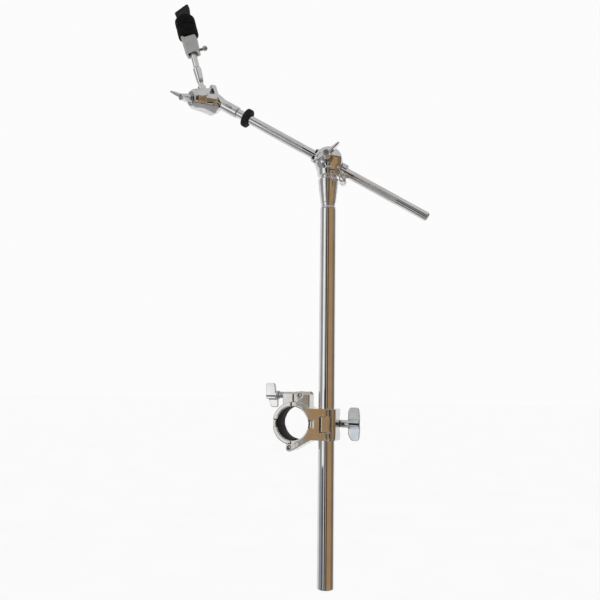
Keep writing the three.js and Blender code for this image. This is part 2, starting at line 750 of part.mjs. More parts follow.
function cymbalWingNut() {
  const hub = rodZ(7.5, 118.8, 122.5, 20);
  const paddle = new THREE.Shape();
  paddle.moveTo(-8.6, 119.4);
  paddle.lineTo(8.6, 119.4);
  paddle.lineTo(9.9, 131);
  paddle.quadraticCurveTo(10.1, 134.6, 7, 134);
  paddle.lineTo(-8, 128.2);
  paddle.quadraticCurveTo(-10, 127.4, -9.8, 125);
  const nose = rodZ(5.6, 122, 126.2, 24);
  return cut(join(hub, nose, plateY(paddle, -3.9, 3.9)), rodZ(ROD_RADIUS + 0.2, 110, 124.9, 20));
}

function addTilter(boom) {
  chrome(boom, "tilter_base", tilterBase());
  const pin = box(-150.6, -143.4, -1.3, -0.2, -0.6, 0.6).applyMatrix4(armMatrix());
  steel(boom, "sleeve_pin", pin);
  const tilter = new THREE.Group();
  tilterMatrix().decompose(tilter.position, tilter.quaternion, tilter.scale);
  boom.add(tilter);
  chrome(tilter, "tilter_head", tilterHead());
  const bolt = join(rodX(6, 17.3, 20.8, 6), rodX(STUD_RADIUS, -36, 18, 20));
  steel(tilter, "tilter_bolt", bolt);
  steel(tilter, "tilter_spring", coil(4.2, 0.55, 3, 5.4).translate(-17, 0, 0));
  const nut = new THREE.Group();
  nut.position.x = -21.8;
  nut.rotation.y = Math.PI;
  tilter.add(nut);
  steel(nut, "tilter_washer", washer(6.4, STUD_RADIUS + 0.2, 1.4));
  const tilterWing = wingNut({
    hub: 5,
    hubLength: 6,
    bore: STUD_RADIUS + 0.2,
    span: 23,
    wingStart: 3,
    length: 15.4,
    thickness: 3.2,
  });
  const wing = chrome(nut, "tilter_wing_nut", tilterWing.rotateX(THREE.MathUtils.degToRad(43)));
  wing.position.x = 1.7;
  chrome(tilter, "cymbal_rod", cymbalRod());
  const top = new THREE.Group();
  top.rotation.z = ROD_TURN;
  tilter.add(top);
  casting(top, "stopper_block", stopperBlock());
  steel(top, "stopper_screw", stopperScrew());
  felt(top, "lower_felt", feltDisc(90.3, 103.5, 0.8));
  felt(top, "upper_felt", feltDisc(103.8, 117, 3.4));
  const sleeve = cut(rodZ(5.7, 90.3, 116.6, 20), rodZ(ROD_RADIUS + 0.2, 80, 130, 20));
  plastic(top, "cymbal_sleeve", sleeve);
  const disc = cut(rodZ(9.6, 117.3, 118.5, 24), rodZ(ROD_RADIUS + 0.2, 110, 130, 20));
  rubber(top, "top_washer", disc);
  plastic(top, "cymbal_wing_nut", cymbalWingNut());
}

addClamp(group);
const pole = chrome(group, "pole_tube", poleTube());
pole.position.x = POLE_X;
const boom = new THREE.Group();
boom.position.x = POLE_X;
boom.rotation.z = BOOM_SWING;
group.add(boom);
addBrake(boom);
addTilter(boom);

export default group;
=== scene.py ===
# A cymbal boom arm on a hinged rack clamp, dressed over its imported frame.
# Shapes are drawn in millimetres in each part's own frame and set down in metres.
import math

import bmesh
import bpy
from mathutils import Matrix, Vector, noise


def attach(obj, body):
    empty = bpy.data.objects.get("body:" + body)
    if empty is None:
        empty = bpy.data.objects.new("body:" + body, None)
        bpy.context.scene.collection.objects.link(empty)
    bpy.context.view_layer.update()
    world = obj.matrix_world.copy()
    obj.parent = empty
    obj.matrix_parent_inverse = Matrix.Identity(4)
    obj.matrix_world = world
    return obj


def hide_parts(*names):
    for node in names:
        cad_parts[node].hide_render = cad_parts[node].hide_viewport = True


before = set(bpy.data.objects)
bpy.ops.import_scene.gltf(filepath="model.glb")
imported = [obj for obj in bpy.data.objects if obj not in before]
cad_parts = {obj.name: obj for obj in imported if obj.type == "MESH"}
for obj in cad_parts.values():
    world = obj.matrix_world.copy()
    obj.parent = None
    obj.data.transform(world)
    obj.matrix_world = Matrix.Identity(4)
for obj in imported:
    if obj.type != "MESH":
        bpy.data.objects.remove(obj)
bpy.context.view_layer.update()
print("frame loaded:", len(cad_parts), "nodes")


# where things sit

def turn(degrees, axis):
    return Matrix.Rotation(math.radians(degrees), 4, axis)


def shift(x, y, z):
    return Matrix.Translation((x, y, z))


layout = {
    "poleX": 37, "boomSwing": 12, "brakeHeight": 314, "armSlope": 31, "armDepth": 6,
    "lockAt": (26.3, 0, -10.9), "lockTurn": 35, "brakeNutTurn": -36.4,
    "tilter": (-157.6, 0, 399.5), "rodLean": 15.7, "tiltTurn": 42, "topTurn": -47,
}
rowFrame = Matrix.Identity(4)
poleFrame = shift(layout["poleX"], 0, 0)
boomFrame = poleFrame @ turn(layout["boomSwing"], "Z")
brakeFrame = boomFrame @ shift(0, 0, layout["brakeHeight"])
headFrame = brakeFrame @ turn(layout["armSlope"], "Y")
armFrame = headFrame @ shift(0, layout["armDepth"], 0)


def tilterPlace():
    lean = math.radians(layout["rodLean"])
    level = math.radians(layout["tiltTurn"])
    rodLine = Vector((-math.sin(lean), 0, math.cos(lean)))
    side = rodLine.cross(Vector((math.sin(level), math.cos(level), 0))).normalized()
    tiltLine = side.cross(rodLine).normalized()
    axes = Matrix((tiltLine, side, rodLine)).transposed().to_4x4()
    return boomFrame @ shift(*layout["tilter"]) @ axes


tilterFrame = tilterPlace()
topFrame = tilterFrame @ turn(layout["topTurn"], "Z")
ringNutFrame = shift(-22, 0, 32) @ turn(180, "Y")
poleNutFrame = shift(46.3, 13.6, 0)
brakeNutFrame = brakeFrame @ shift(0, -16.9, 0) @ turn(layout["brakeNutTurn"], "Y") @ turn(-90, "Z")
tilterNutFrame = tilterFrame @ shift(-21.8, 0, 0) @ turn(180, "Y")
lockFrame = headFrame @ shift(*layout["lockAt"]) @ turn(layout["lockTurn"], "Y") @ turn(-90, "Z")


# finishes

def newFinish(name):
    material = bpy.data.materials.new(name)
    material.use_nodes = True
    tree = material.node_tree
    shader = tree.nodes["Principled BSDF"]
    return material, tree, shader


def fill(tree, node, sockets):
    # a socket takes a plain value or another node's output
    for key, value in sockets.items():
        if isinstance(value, bpy.types.NodeSocket):
            tree.links.new(value, node.inputs[key])
        else:
            node.inputs[key].default_value = value
    return node


def addNode(tree, kind, sockets, **settings):
    node = tree.nodes.new(kind)
    for key, value in settings.items():
        setattr(node, key, value)
    return fill(tree, node, sockets)


def objectPlace(tree):
    return tree.nodes.new("ShaderNodeTexCoord").outputs["Object"]


def noiseOf(tree, place, scale, detail, stretch=(1, 1, 1)):
    mapping = addNode(tree, "ShaderNodeMapping", {"Scale": stretch, "Vector": place})
    sockets = {"Scale": scale, "Detail": detail, "Vector": mapping.outputs["Vector"]}
    return addNode(tree, "ShaderNodeTexNoise", sockets).outputs["Fac"]


def twoTone(tree, value, positions, colours):
    node = addNode(tree, "ShaderNodeValToRGB", {"Fac": value})
    for element, position, colour in zip(node.color_ramp.elements, positions, colours):
        element.position = position
        element.color = (*colour, 1)
    return node.outputs["Color"]


def spread(tree, value, low, high):
    sockets = {"Value": value, "From Min": 0.3, "From Max": 0.7, "To Min": low, "To Max": high}
    return addNode(tree, "ShaderNodeMapRange", sockets).outputs["Result"]


def addBump(tree, shader, height, strength, distance, before=None):
    node = addNode(tree, "ShaderNodeBump", {"Strength": strength, "Distance": distance, "Height": height})
    if before is not None:
        tree.links.new(before, node.inputs["Normal"])
    tree.links.new(node.outputs["Normal"], shader.inputs["Normal"])
    return node.outputs["Normal"]


def maths(tree, operation, *values):
    return addNode(tree, "ShaderNodeMath", dict(enumerate(values)), operation=operation).outputs[0]


metalDepth = {"grain": 0.00004, "wave": 0.0004}  # metres


def metalFinish(name, look):
    material, tree, shader = newFinish(name)
    place = objectPlace(tree)
    patches = noiseOf(tree, place, look["patchScale"], 4)
    grain = noiseOf(tree, place, look["grainScale"], 2, look.get("stretch", (1, 1, 1)))
    wear = noiseOf(tree, place, look["patchScale"] * 2.3, 5)
    worn = spread(tree, wear, look["roughLow"], look["roughHigh"])
    roughness = maths(tree, "MULTIPLY", worn, spread(tree, grain, 0.85, 1.2))
    fill(tree, shader, {
        "Metallic": look["metallic"], "Roughness": roughness,
        "Base Color": twoTone(tree, patches, (0.32, 0.68), (look["dark"], look["light"])),
    })
    first = addBump(tree, shader, grain, look["grainBump"], metalDepth["grain"])
    if "waveScale" in look:
        wave = noiseOf(tree, place, look["waveScale"], 1)
        addBump(tree, shader, wave, look["waveBump"], metalDepth["wave"], first)
    return material


def softFinish(name, look):
    material, tree, shader = newFinish(name)
    place = objectPlace(tree)
    patches = noiseOf(tree, place, look["patchScale"], 5)
    grain = noiseOf(tree, place, look["grainScale"], 4, look.get("stretch", (1, 1, 1)))
    fill(tree, shader, {
        "Base Color": twoTone(tree, patches, (0.3, 0.7), (look["dark"], look["light"])),
        "Roughness": spread(tree, grain, look["roughLow"], look["roughHigh"]),
        "Specular IOR Level": look["specular"], "Sheen Weight": look.get("sheen", 0), "Sheen Roughness": 0.6,
    })
    first = addBump(tree, shader, grain, look["grainBump"], look["grainDepth"])
    if "pitScale" in look:
        cells = addNode(tree, "ShaderNodeTexVoronoi", {"Scale": look["pitScale"], "Vector": place})
        addBump(tree, shader, cells.outputs["Distance"], look["pitBump"], look["grainDepth"], first)
    return material


metalLooks = {
    "brightChrome": {
        "metallic": 1.0, "dark": (0.80, 0.80, 0.81), "light": (0.90, 0.90, 0.90), "patchScale": 60,
        "grainScale": 900, "stretch": (1, 1, 0.08), "grainBump": 0.02, "roughLow": 0.015, "roughHigh": 0.06,
        "waveScale": 30, "waveBump": 0.06,
    },
    "castChrome": {
        "metallic": 1.0, "dark": (0.76, 0.76, 0.77), "light": (0.90, 0.90, 0.90), "patchScale": 120,
        "grainScale": 700, "grainBump": 0.03, "roughLow": 0.03, "roughHigh": 0.1,
        "waveScale": 90, "waveBump": 0.12,
    },
    "satinCasting": {
        "metallic": 1.0, "dark": (0.66, 0.65, 0.63), "light": (0.74, 0.73, 0.71), "patchScale": 90,
        "grainScale": 1500, "grainBump": 0.04, "roughLow": 0.04, "roughHigh": 0.09,
        "waveScale": 110, "waveBump": 0.14,
    },
    "stopperGrey": {
        "metallic": 0.5, "dark": (0.44, 0.44, 0.44), "light": (0.56, 0.56, 0.55), "patchScale": 140,
        "grainScale": 2200, "grainBump": 0.5, "roughLow": 0.36, "roughHigh": 0.5,
    },
    "turnedSteel": {
        "metallic": 1.0, "dark": (0.46, 0.46, 0.47), "light": (0.66, 0.66, 0.67), "patchScale": 200,
        "grainScale": 1800, "grainBump": 0.25, "roughLow": 0.16, "roughHigh": 0.3,
    },
}
softLooks = {
    "pressedFelt": {
        "dark": (0.003, 0.003, 0.003), "light": (0.010, 0.010, 0.011), "patchScale": 260, "grainScale": 1400,
        "stretch": (1, 1, 2.2), "roughLow": 0.9, "roughHigh": 1.0, "grainBump": 0.9, "grainDepth": 0.0004,
        "sheen": 0.03, "specular": 0.06, "pitScale": 900, "pitBump": 0.5,
    },
    "blackRubber": {
        "dark": (0.006, 0.006, 0.006), "light": (0.016, 0.016, 0.016), "patchScale": 120, "grainScale": 900,
        "roughLow": 0.6, "roughHigh": 0.8, "grainBump": 0.4, "grainDepth": 0.0001, "specular": 0.25,
    },
    "nylonMoulding": {
        "dark": (0.010, 0.010, 0.011), "light": (0.024, 0.024, 0.026), "patchScale": 150, "grainScale": 1600,
        "roughLow": 0.42, "roughHigh": 0.58, "grainBump": 0.3, "grainDepth": 0.00008, "specular": 0.25,
    },
}
finishes = {name: metalFinish(name, look) for name, look in metalLooks.items()}
finishes.update({name: softFinish(name, look) for name, look in softLooks.items()})
print("finishes made:", len(finishes))


# shaping tools

def solidOf(mesh, name="shape"):
    made = bpy.data.objects.new(name, mesh)
    bpy.context.scene.collection.objects.link(made)
    return made


def fromBmesh(bm):
    bmesh.ops.recalc_face_normals(bm, faces=bm.faces)
    mesh = bpy.data.meshes.new("shape")
    bm.to_mesh(mesh)
    bm.free()
    return solidOf(mesh)


axisTurns = {"X": turn(90, "Y"), "Y": turn(-90, "X"), "Z": Matrix.Identity(4)}


def bar(axis, radius, low, high, at=(0, 0, 0), sides=72, farRadius=None):
    bm = bmesh.new()
    far = radius if farRadius is None else farRadius
    bmesh.ops.create_cone(bm, cap_ends=True, segments=sides, radius1=radius, radius2=far, depth=high - low)
    place = shift(*at) @ axisTurns[axis] @ shift(0, 0, (low + high) / 2)
    bmesh.ops.transform(bm, matrix=place, verts=bm.verts)
    return fromBmesh(bm)


def block(low, high):
    bm = bmesh.new()
    bmesh.ops.create_cube(bm, size=1)
    middle = [(a + b) / 2 for a, b in zip(low, high)]
    size = [b - a for a, b in zip(low, high)]
    place = Matrix.Translation(middle) @ Matrix.Diagonal((*size, 1))
    bmesh.ops.transform(bm, matrix=place, verts=bm.verts)
    return fromBmesh(bm)


def ball(radius, at=(0, 0, 0), rings=48):
    bm = bmesh.new()
    bmesh.ops.create_uvsphere(bm, u_segments=rings * 2, v_segments=rings, radius=radius)
    bmesh.ops.translate(bm, vec=at, verts=bm.verts)
    return fromBmesh(bm)


def supported(profile):
    # a short step beside each corner keeps the long walls straight in their shading
    line = []
    for start, end in zip(profile, profile[1:]):
        line.append(start)
        length = math.dist(start, end)
        if length > 3:
            for share in (0.4 / length, 1 - 0.4 / length):
                line.append(tuple(a + (b - a) * share for a, b in zip(start, end)))
    return [*line, profile[-1]]


def lathe(profile, sides=96, axis="Z"):
    bm = bmesh.new()
    rings = []
    for radius, height in supported(profile):
        ring = []
        for i in range(sides):
            angle = 2 * math.pi * i / sides
            ring.append(bm.verts.new((radius * math.cos(angle), radius * math.sin(angle), height)))
        rings.append(ring)
    onAxis = profile[0][0] == 0 and profile[-1][0] == 0
    for k in range(len(rings) - (1 if onAxis else 0)):
        lower, upper = rings[k], rings[(k + 1) % len(rings)]
        for i in range(sides):
            j = (i + 1) % sides
            bm.faces.new((lower[i], lower[j], upper[j], upper[i]))
    bmesh.ops.remove_doubles(bm, verts=bm.verts, dist=1e-5)
    bmesh.ops.dissolve_degenerate(bm, dist=1e-6, edges=bm.edges)
    bmesh.ops.transform(bm, matrix=axisTurns[axis], verts=bm.verts)
    return fromBmesh(bm)


def curvedLine(points, steps=10):
    # a pair is a corner, four numbers are a quadratic bend and its end
    line = [Vector(points[0])]
    for point in points[1:]:
        if len(point) == 2:
            line.append(Vector(point))
            continue
        start, bend, end = line[-1].copy(), Vector(point[:2]), Vector(point[2:])
        for i in range(1, steps + 1):
            t = i / steps
            line.append(start * (1 - t) ** 2 + bend * 2 * t * (1 - t) + end * t * t)
    return line


def bend(start, first, second, end, steps=12):
    a, b, c, d = [Vector(point) for point in (start, first, second, end)]
    line = []
    for i in range(steps + 1):
        t = i / steps
        u = 1 - t
        line.append(a * u ** 3 + 3 * b * t * u ** 2 + 3 * c * t * t * u + d * t ** 3)
    return line


def roundedRect(x0, x1, y0, y1, radius):
    r = radius
    return curvedLine([
        (x0 + r, y0), (x1 - r, y0), (x1, y0, x1, y0 + r), (x1, y1 - r), (x1, y1, x1 - r, y1),
        (x0 + r, y1), (x0, y1, x0, y1 - r), (x0, y0 + r), (x0, y0, x0 + r, y0),
    ], 8)[:-1]


prismPlaces = {
    "Z": lambda a, b, depth: (a, b, depth),
    "Y": lambda a, b, depth: (a, depth, b),
    "X": lambda a, b, depth: (depth, a, b),
}


def prism(line, low, high, along="Y"):
    bm = bmesh.new()
    place = prismPlaces[along]
    bottom = [bm.verts.new(place(p[0], p[1], low)) for p in line]
    top = [bm.verts.new(place(p[0], p[1], high)) for p in line]
    bm.faces.new(bottom)
    bm.faces.new(top)
    for i in range(len(line)):
        j = (i + 1) % len(line)
        bm.faces.new((bottom[i], bottom[j], top[j], top[i]))
    return fromBmesh(bm)


def hull(points):
    bm = bmesh.new()
    for point in points:
        bm.verts.new(point)
    made = bmesh.ops.convex_hull(bm, input=bm.verts)
    bmesh.ops.delete(bm, geom=[v for v in made["geom_interior"] if isinstance(v, bmesh.types.BMVert)])
    return fromBmesh(bm)


def moved(shape, matrix):
    shape.data.transform(matrix)
    return shape


def settled(shape):
    bpy.context.view_layer.update()
    graph = bpy.context.evaluated_depsgraph_get()
    return bpy.data.meshes.new_from_object(shape.evaluated_get(graph))


def carve(solids, holes=(), keep=()):
    base = solids[0]
    for operation, tools in (("UNION", solids[1:]), ("INTERSECT", keep), ("DIFFERENCE", holes)):
        for tool in tools:
            step = base.modifiers.new("step", "BOOLEAN")
            step.operation = operation
            step.solver = "MANIFOLD"
            step.object = tool
    mesh = settled(base)
    for used in [*solids, *holes, *keep]:
        bpy.data.objects.remove(used)
    return solidOf(mesh)


def castSkin(shape, voxel=0.45, passes=6, share=1.0):
    # one even skin with the soft edges of a casting
    skin = shape.modifiers.new("skin", "REMESH")
    skin.mode = "VOXEL"
    skin.voxel_size = voxel
    ease = shape.modifiers.new("ease", "SMOOTH")
    ease.factor = 0.5
    ease.iterations = passes
    if share < 1:
        thin = shape.modifiers.new("thin", "DECIMATE")
        thin.ratio = share
    mesh = settled(shape)
    bpy.data.objects.remove(shape)
    return solidOf(mesh)


def easeEdges(shape, width=0.3, segments=2):
    edge = shape.modifiers.new("edge", "BEVEL")
    edge.width = width
    edge.segments = segments
    edge.limit_method = "ANGLE"
    edge.angle_limit = math.radians(40)
    mesh = settled(shape)
    bpy.data.objects.remove(shape)
    return solidOf(mesh)


def reshape(shape, change):
    for vertex in shape.data.vertices:
        vertex.co = change(vertex.co)
    return shape


def settle(shape, name, place, body, finish, nodes=(), crease=34):
    mesh = shape.data
    mesh.transform(Matrix.Scale(0.001, 4) @ place)
    bm = bmesh.new()
    bm.from_mesh(mesh)
    for face in bm.faces:
        face.smooth = True
    for edge in bm.edges:
        edge.smooth = len(edge.link_faces) == 2 and edge.calc_face_angle(0) < math.radians(crease)
    bm.to_mesh(mesh)
    bm.free()
    mesh.materials.clear()
    mesh.materials.append(finishes[finish])
    shape.name = name
    mesh.name = name
    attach(shape, body)
    if nodes:
        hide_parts(*nodes)
    return shape


# geometry nodes: threads, springs, knurling, teeth

def newTree(name, inputs):
    tree = bpy.data.node_groups.new(name, "GeometryNodeTree")
    tree.interface.new_socket("Geometry", in_out="OUTPUT", socket_type="NodeSocketGeometry")
    for label, value in inputs.items():
        kind = "NodeSocketInt" if isinstance(value, int) else "NodeSocketFloat"
        socket = tree.interface.new_socket(label, in_out="INPUT", socket_type=kind)
        socket.default_value = value
    return tree, tree.nodes.new("NodeGroupInput").outputs


def closeTree(tree, last, finish):
    whole = addNode(tree, "GeometryNodeRealizeInstances", {"Geometry": last})
    sockets = {"Geometry": whole.outputs["Geometry"], "Material": finishes[finish]}
    paint = addNode(tree, "GeometryNodeSetMaterial", sockets)
    addNode(tree, "NodeGroupOutput", {"Geometry": paint.outputs["Geometry"]})
    return tree


def grow(tree, values):
    made = solidOf(bpy.data.meshes.new("grown"))
    step = made.modifiers.new("grow", "NODES")
    step.node_group = tree
    for item in tree.interface.items_tree:
        if item.in_out == "INPUT" and item.name in values:
            step[item.identifier] = values[item.name]
    mesh = settled(made)
    bpy.data.objects.remove(made)
    return solidOf(mesh)


def helixTree(name, finish, sides):
    # a ridge or a wire that climbs along Z
    tree, given = newTree(name, {"Radius": 3.0, "Turns": 10.0, "Length": 12.0, "Wire": 0.4})
    spiral = addNode(tree, "GeometryNodeCurveSpiral", {
        "Resolution": 28, "Start Radius": given["Radius"], "End Radius": given["Radius"],
        "Rotations": given["Turns"], "Height": given["Length"],
    })
    sockets = {"Resolution": sides, "Radius": given["Wire"]}
    section = addNode(tree, "GeometryNodeCurvePrimitiveCircle", sockets)
    sweep = addNode(tree, "GeometryNodeCurveToMesh", {
        "Curve": spiral.outputs["Curve"], "Profile Curve": section.outputs["Curve"], "Fill Caps": True,
    })
    return closeTree(tree, sweep.outputs["Mesh"], finish)


def standCopies(tree, points, shape, outward, axis, finish):
    # one copy on each point, with the named axis turned outward
    facing = addNode(tree, "FunctionNodeAlignRotationToVector", {"Vector": outward}, axis=axis)
    copies = addNode(tree, "GeometryNodeInstanceOnPoints", {
        "Points": points, "Instance": shape.outputs["Mesh"], "Rotation": facing.outputs["Rotation"],
    })
    return closeTree(tree, copies.outputs["Instances"], finish)


def knurlTree(finish):
    # rows of small pyramids round a bar on X, every other row stepped by half
    tree, given = newTree("knurling", {
        "Radius": 5.5, "Start": 0.0, "Length": 50.0, "Rows": 60, "Around": 28, "Size": 0.8, "Rise": 0.2,
    })
    radius, around = given["Radius"], given["Around"]
    sheet = addNode(tree, "GeometryNodeMeshGrid", {
        "Size X": 1, "Size Y": 1, "Vertices X": given["Rows"], "Vertices Y": around,
    })
    index = tree.nodes.new("GeometryNodeInputIndex").outputs[0]
    row = maths(tree, "FLOOR", maths(tree, "DIVIDE", maths(tree, "ADD", index, 0.5), around))
    column = maths(tree, "SUBTRACT", index, maths(tree, "MULTIPLY", row, around))
    half = maths(tree, "MULTIPLY", maths(tree, "MODULO", row, 2), 0.5)
    angle = maths(tree, "MULTIPLY", maths(tree, "ADD", column, half), maths(tree, "DIVIDE", math.tau, around))
    pitch = maths(tree, "DIVIDE", given["Length"], given["Rows"])
    x = maths(tree, "ADD", given["Start"], maths(tree, "MULTIPLY", row, pitch))
    y, z = maths(tree, "COSINE", angle), maths(tree, "SINE", angle)
    outward = addNode(tree, "ShaderNodeCombineXYZ", {"Y": y, "Z": z})
    spot = addNode(tree, "ShaderNodeCombineXYZ", {
        "X": x, "Y": maths(tree, "MULTIPLY", y, radius), "Z": maths(tree, "MULTIPLY", z, radius),
    })
    placed = addNode(tree, "GeometryNodeSetPosition", {
        "Geometry": sheet.outputs["Mesh"], "Position": spot.outputs[0],
    })
    pyramid = addNode(tree, "GeometryNodeMeshCone", {
        "Vertices": 4, "Radius Bottom": given["Size"], "Depth": given["Rise"],
    })
    return standCopies(tree, placed.outputs["Geometry"], pyramid, outward.outputs[0], "Z", finish)


def toothTree(finish):
    # blocks stood round a disc on Z
    tree, given = newTree("teeth", {"Radius": 10.6, "Count": 24, "Width": 1.2, "Height": 1.2, "Length": 8.0})
    circle = addNode(tree, "GeometryNodeMeshCircle", {"Vertices": given["Count"], "Radius": given["Radius"]})
    sides = {"X": given["Height"], "Y": given["Width"], "Z": given["Length"]}
    size = addNode(tree, "ShaderNodeCombineXYZ", sides)
    tooth = addNode(tree, "GeometryNodeMeshCube", {"Size": size.outputs[0]})
    outward = tree.nodes.new("GeometryNodeInputPosition").outputs[0]
    return standCopies(tree, circle.outputs["Mesh"], tooth, outward, "X", finish)


threadTree = helixTree("thread", "turnedSteel", 5)
springTree = helixTree("spring", "turnedSteel", 10)
knurling = knurlTree("brightChrome")
teeth = toothTree("castChrome")


def threadedBar(name, bolt, place, body, nodes, extra=()):
    # a core bar with its thread, both along Z from bolt["low"] to bolt["high"]
    r, low, high = bolt["radius"], bolt["low"], bolt["high"]
    wire = 0.3
    root = r - wire
    core = lathe([
        (0, low), (r - 0.5, low), (root, low + 0.3), (root, high - 0.8), (r - 0.9, high), (0, high),
    ], 48)
    if extra:
        core = carve([core, *extra])
    settle(core, name, place, body, "turnedSteel", nodes)
    start, end = bolt["threadLow"] + 0.5, high - 0.9
    values = {"Radius": r - 0.32, "Turns": (end - start) / bolt["pitch"], "Length": end - start, "Wire": wire}
    ridge = moved(grow(threadTree, values), shift(0, 0, start))
    settle(ridge, name + "Thread", place, body, "turnedSteel", crease=70)


# rack clamp

ring = {
    "inner": 20.55, "outer": 24.5, "half": 15, "lip": 19.3, "lining": 13, "seam": -1, "gap": 0.3,
    "hinge": (-3, 0, -27.5), "knuckle": 4.4, "boltPin": (7, 0, 32), "pinBore": 2.4,
}
fork = {"inside": 4.4, "outside": 8.2, "top": 32, "barrel": 8.5, "squash": 0.64}
tubeBlock = {
    "low": -18, "high": 17.5, "bore": 9.725, "stud": (0, 13.6, 0),
    "hinge": (41, -11.9, 0), "knuckle": 3.1, "pinBore": 1.75,
}
liner = {"outer": 20.4, "inner": 19.15, "half": 12.7, "steps": 48}
clampSkin = {"voxel": 0.5, "passes": 4, "share": 0.55}


def ringRound():
    return bar("Y", ring["outer"], -ring["half"], ring["half"], sides=128)


def ringBore(side):
    # the bore with a lip at each face, and a notch in each face
    lining = ring["lining"]
    holes = [bar("Y", ring["lip"], -20, 20, sides=128), bar("Y", ring["inner"], -lining, lining, sides=128)]
    for face in (-1, 1):
        x, y = side * 22, face * 15.4
        holes.append(block((x - 3.9, y - 2.6, -4.5), (x + 3.9, y + 2.6, 4.5)))
    return holes


def tubeBore():
    return bar("Z", tubeBlock["bore"], -30, 30, at=(layout["poleX"], 0, 0), sides=96)


def forkCheeks(line):
    # two cheeks under one barrel-shaped top
    inside, outside, top = fork["inside"], fork["outside"], fork["top"]
    cheeks = []
    for low, high in ((-outside, -inside), (inside, outside)):
        barrel = bar("X", fork["barrel"], -40, 40)
        barrel = moved(barrel, shift(0, 0, top) @ Matrix.Diagonal((1, 1, fork["squash"], 1)))
        under = carve([barrel, block((-40, -20, 0), (40, 20, top))])
        cheeks.append(carve([prism(line, low, high)], keep=[under]))
    return cheeks


def addSaddle():
    half = ring["seam"] + ring["gap"]
    hinge, k, deep, wide = ring["hinge"], ring["knuckle"], ring["half"], fork["outside"]
    gateHinge, stud = tubeBlock["hinge"], tubeBlock["stud"]
    bottom, top = tubeBlock["low"], tubeBlock["high"]
    hx, _, hz = hinge
    gusset = [
        (hx + 2, hz - 3.9), (23, bottom), (26, bottom), (26, top), (20, top), (4, 24.8), (half, 10),
        (half, hz - 2),
    ]
    solids = [
        carve([ringRound()], keep=[block((half, -20, -40), (40, 20, 40))]),
        bar("Y", k, -deep, deep, at=hinge),
        block((19, -deep, bottom), (37.3, deep, top)),
        prism(gusset, -deep, deep),
        *forkCheeks(roundedRect(half, 18.7, 14, 37.2, 4.5)),
        block((half, -wide, 12), (18.7, wide, 26.4)),
        block((13.2, -wide, 14), (18.7, wide, 33)),
        bar("X", 8, 24, 37.3, at=stud),
    ]
    for low, high in ((9, top), (bottom, -9.2)):
        solids.append(block((30, -deep, low), (41, -10, high)))
        solids.append(bar("Z", tubeBlock["knuckle"], low, high, at=gateHinge))
    holes = [
        *ringBore(1),
        bar("Y", k + 0.3, -5.2, 5.2, at=hinge),
        bar("Y", ring["pinBore"], -20, 20, at=hinge, sides=40),
        bar("Y", 2.3, -20, 20, at=ring["boltPin"], sides=40),
        block((33.5, -20, -9.2), (42, -8.4, 9)),
        tubeBore(),
        bar("X", 3.2, 26, 60, at=stud, sides=40),
        bar("Z", tubeBlock["pinBore"], -17, 30, at=gateHinge, sides=32),
    ]
    made = castSkin(carve(solids, holes), **clampSkin)
    settle(made, "clampSaddle", rowFrame, "clamp", "satinCasting", ["clamp_saddle"], 50)


def addJaw():
    half = ring["seam"] - ring["gap"]
    hinge, k, wide = ring["hinge"], ring["knuckle"], fork["outside"]
    clear = [bar("Y", k + 0.3, -20, -4.9, at=hinge), bar("Y", k + 0.3, 4.9, 20, at=hinge)]
    solids = [
        carve([ringRound()], clear, [block((-40, -20, -40), (half, 20, 40))]),
        block((-11, -5, hinge[2] - 1.5), (half, 5, -19)),
        bar("Y", k, -5, 5, at=hinge),
        *forkCheeks(roundedRect(-14.5, half, 12, 36, 2.5)),
        block((-14.5, -wide, 12), (half, wide, 27)),
    ]
    holes = [*ringBore(-1), bar("Y", ring["pinBore"], -20, 20, at=hinge, sides=40)]
    made = castSkin(carve(solids, holes), **clampSkin)
    settle(made, "ringJaw", rowFrame, "jaw", "satinCasting", ["ring_jaw"], 50)


def addLining(name, node, body, start, end):
    steps = liner["steps"]
    line = []
    for radius, first, last in ((liner["outer"], start, end), (liner["inner"], end, start)):
        for i in range(steps + 1):
            angle = first + (last - first) * i / steps
            line.append((radius * math.cos(angle), radius * math.sin(angle)))
    made = easeEdges(prism(line, -liner["half"], liner["half"]), 0.25)
    settle(made, name, rowFrame, body, "blackRubber", [node])


def addGate():
    hinge, stud, deep = tubeBlock["hinge"], tubeBlock["stud"], ring["half"]
    low, high = -8.9, 8.7
    outline = curvedLine([
        (37.9, -deep), (45, -deep), (50.5, -deep, 50.5, -8), (50.5, 8), (50.5, deep, 45, deep), (37.9, deep),
    ])
    clear = []
    for start, end in ((high, 30), (-30, low)):
        clear.append(bar("Z", 3.4, start, end, at=hinge))
        clear.append(block((30, -20, start), (41.5, -9.5, end)))
    solids = [
        carve([prism(outline, tubeBlock["low"], tubeBlock["high"], "Z")], clear),
        block((41, -deep, low), (46, -10, high)),
        block((35.4, -deep, low), (41, -12.4, high)),
        bar("Z", tubeBlock["knuckle"], low, high, at=hinge),
        bar("X", 9, 37.9, 46, at=stud),
    ]
    holes = [
        tubeBore(),
        bar("X", 3.8, 30, 60, at=stud, sides=40),
        bar("X", 9, 46, 60, at=stud),
        bar("Z", tubeBlock["pinBore"], -30, 30, at=hinge, sides=32),
    ]
    made = castSkin(carve(solids, holes), **clampSkin)
    settle(made, "poleGate", rowFrame, "gate", "satinCasting", ["pole_gate"], 50)


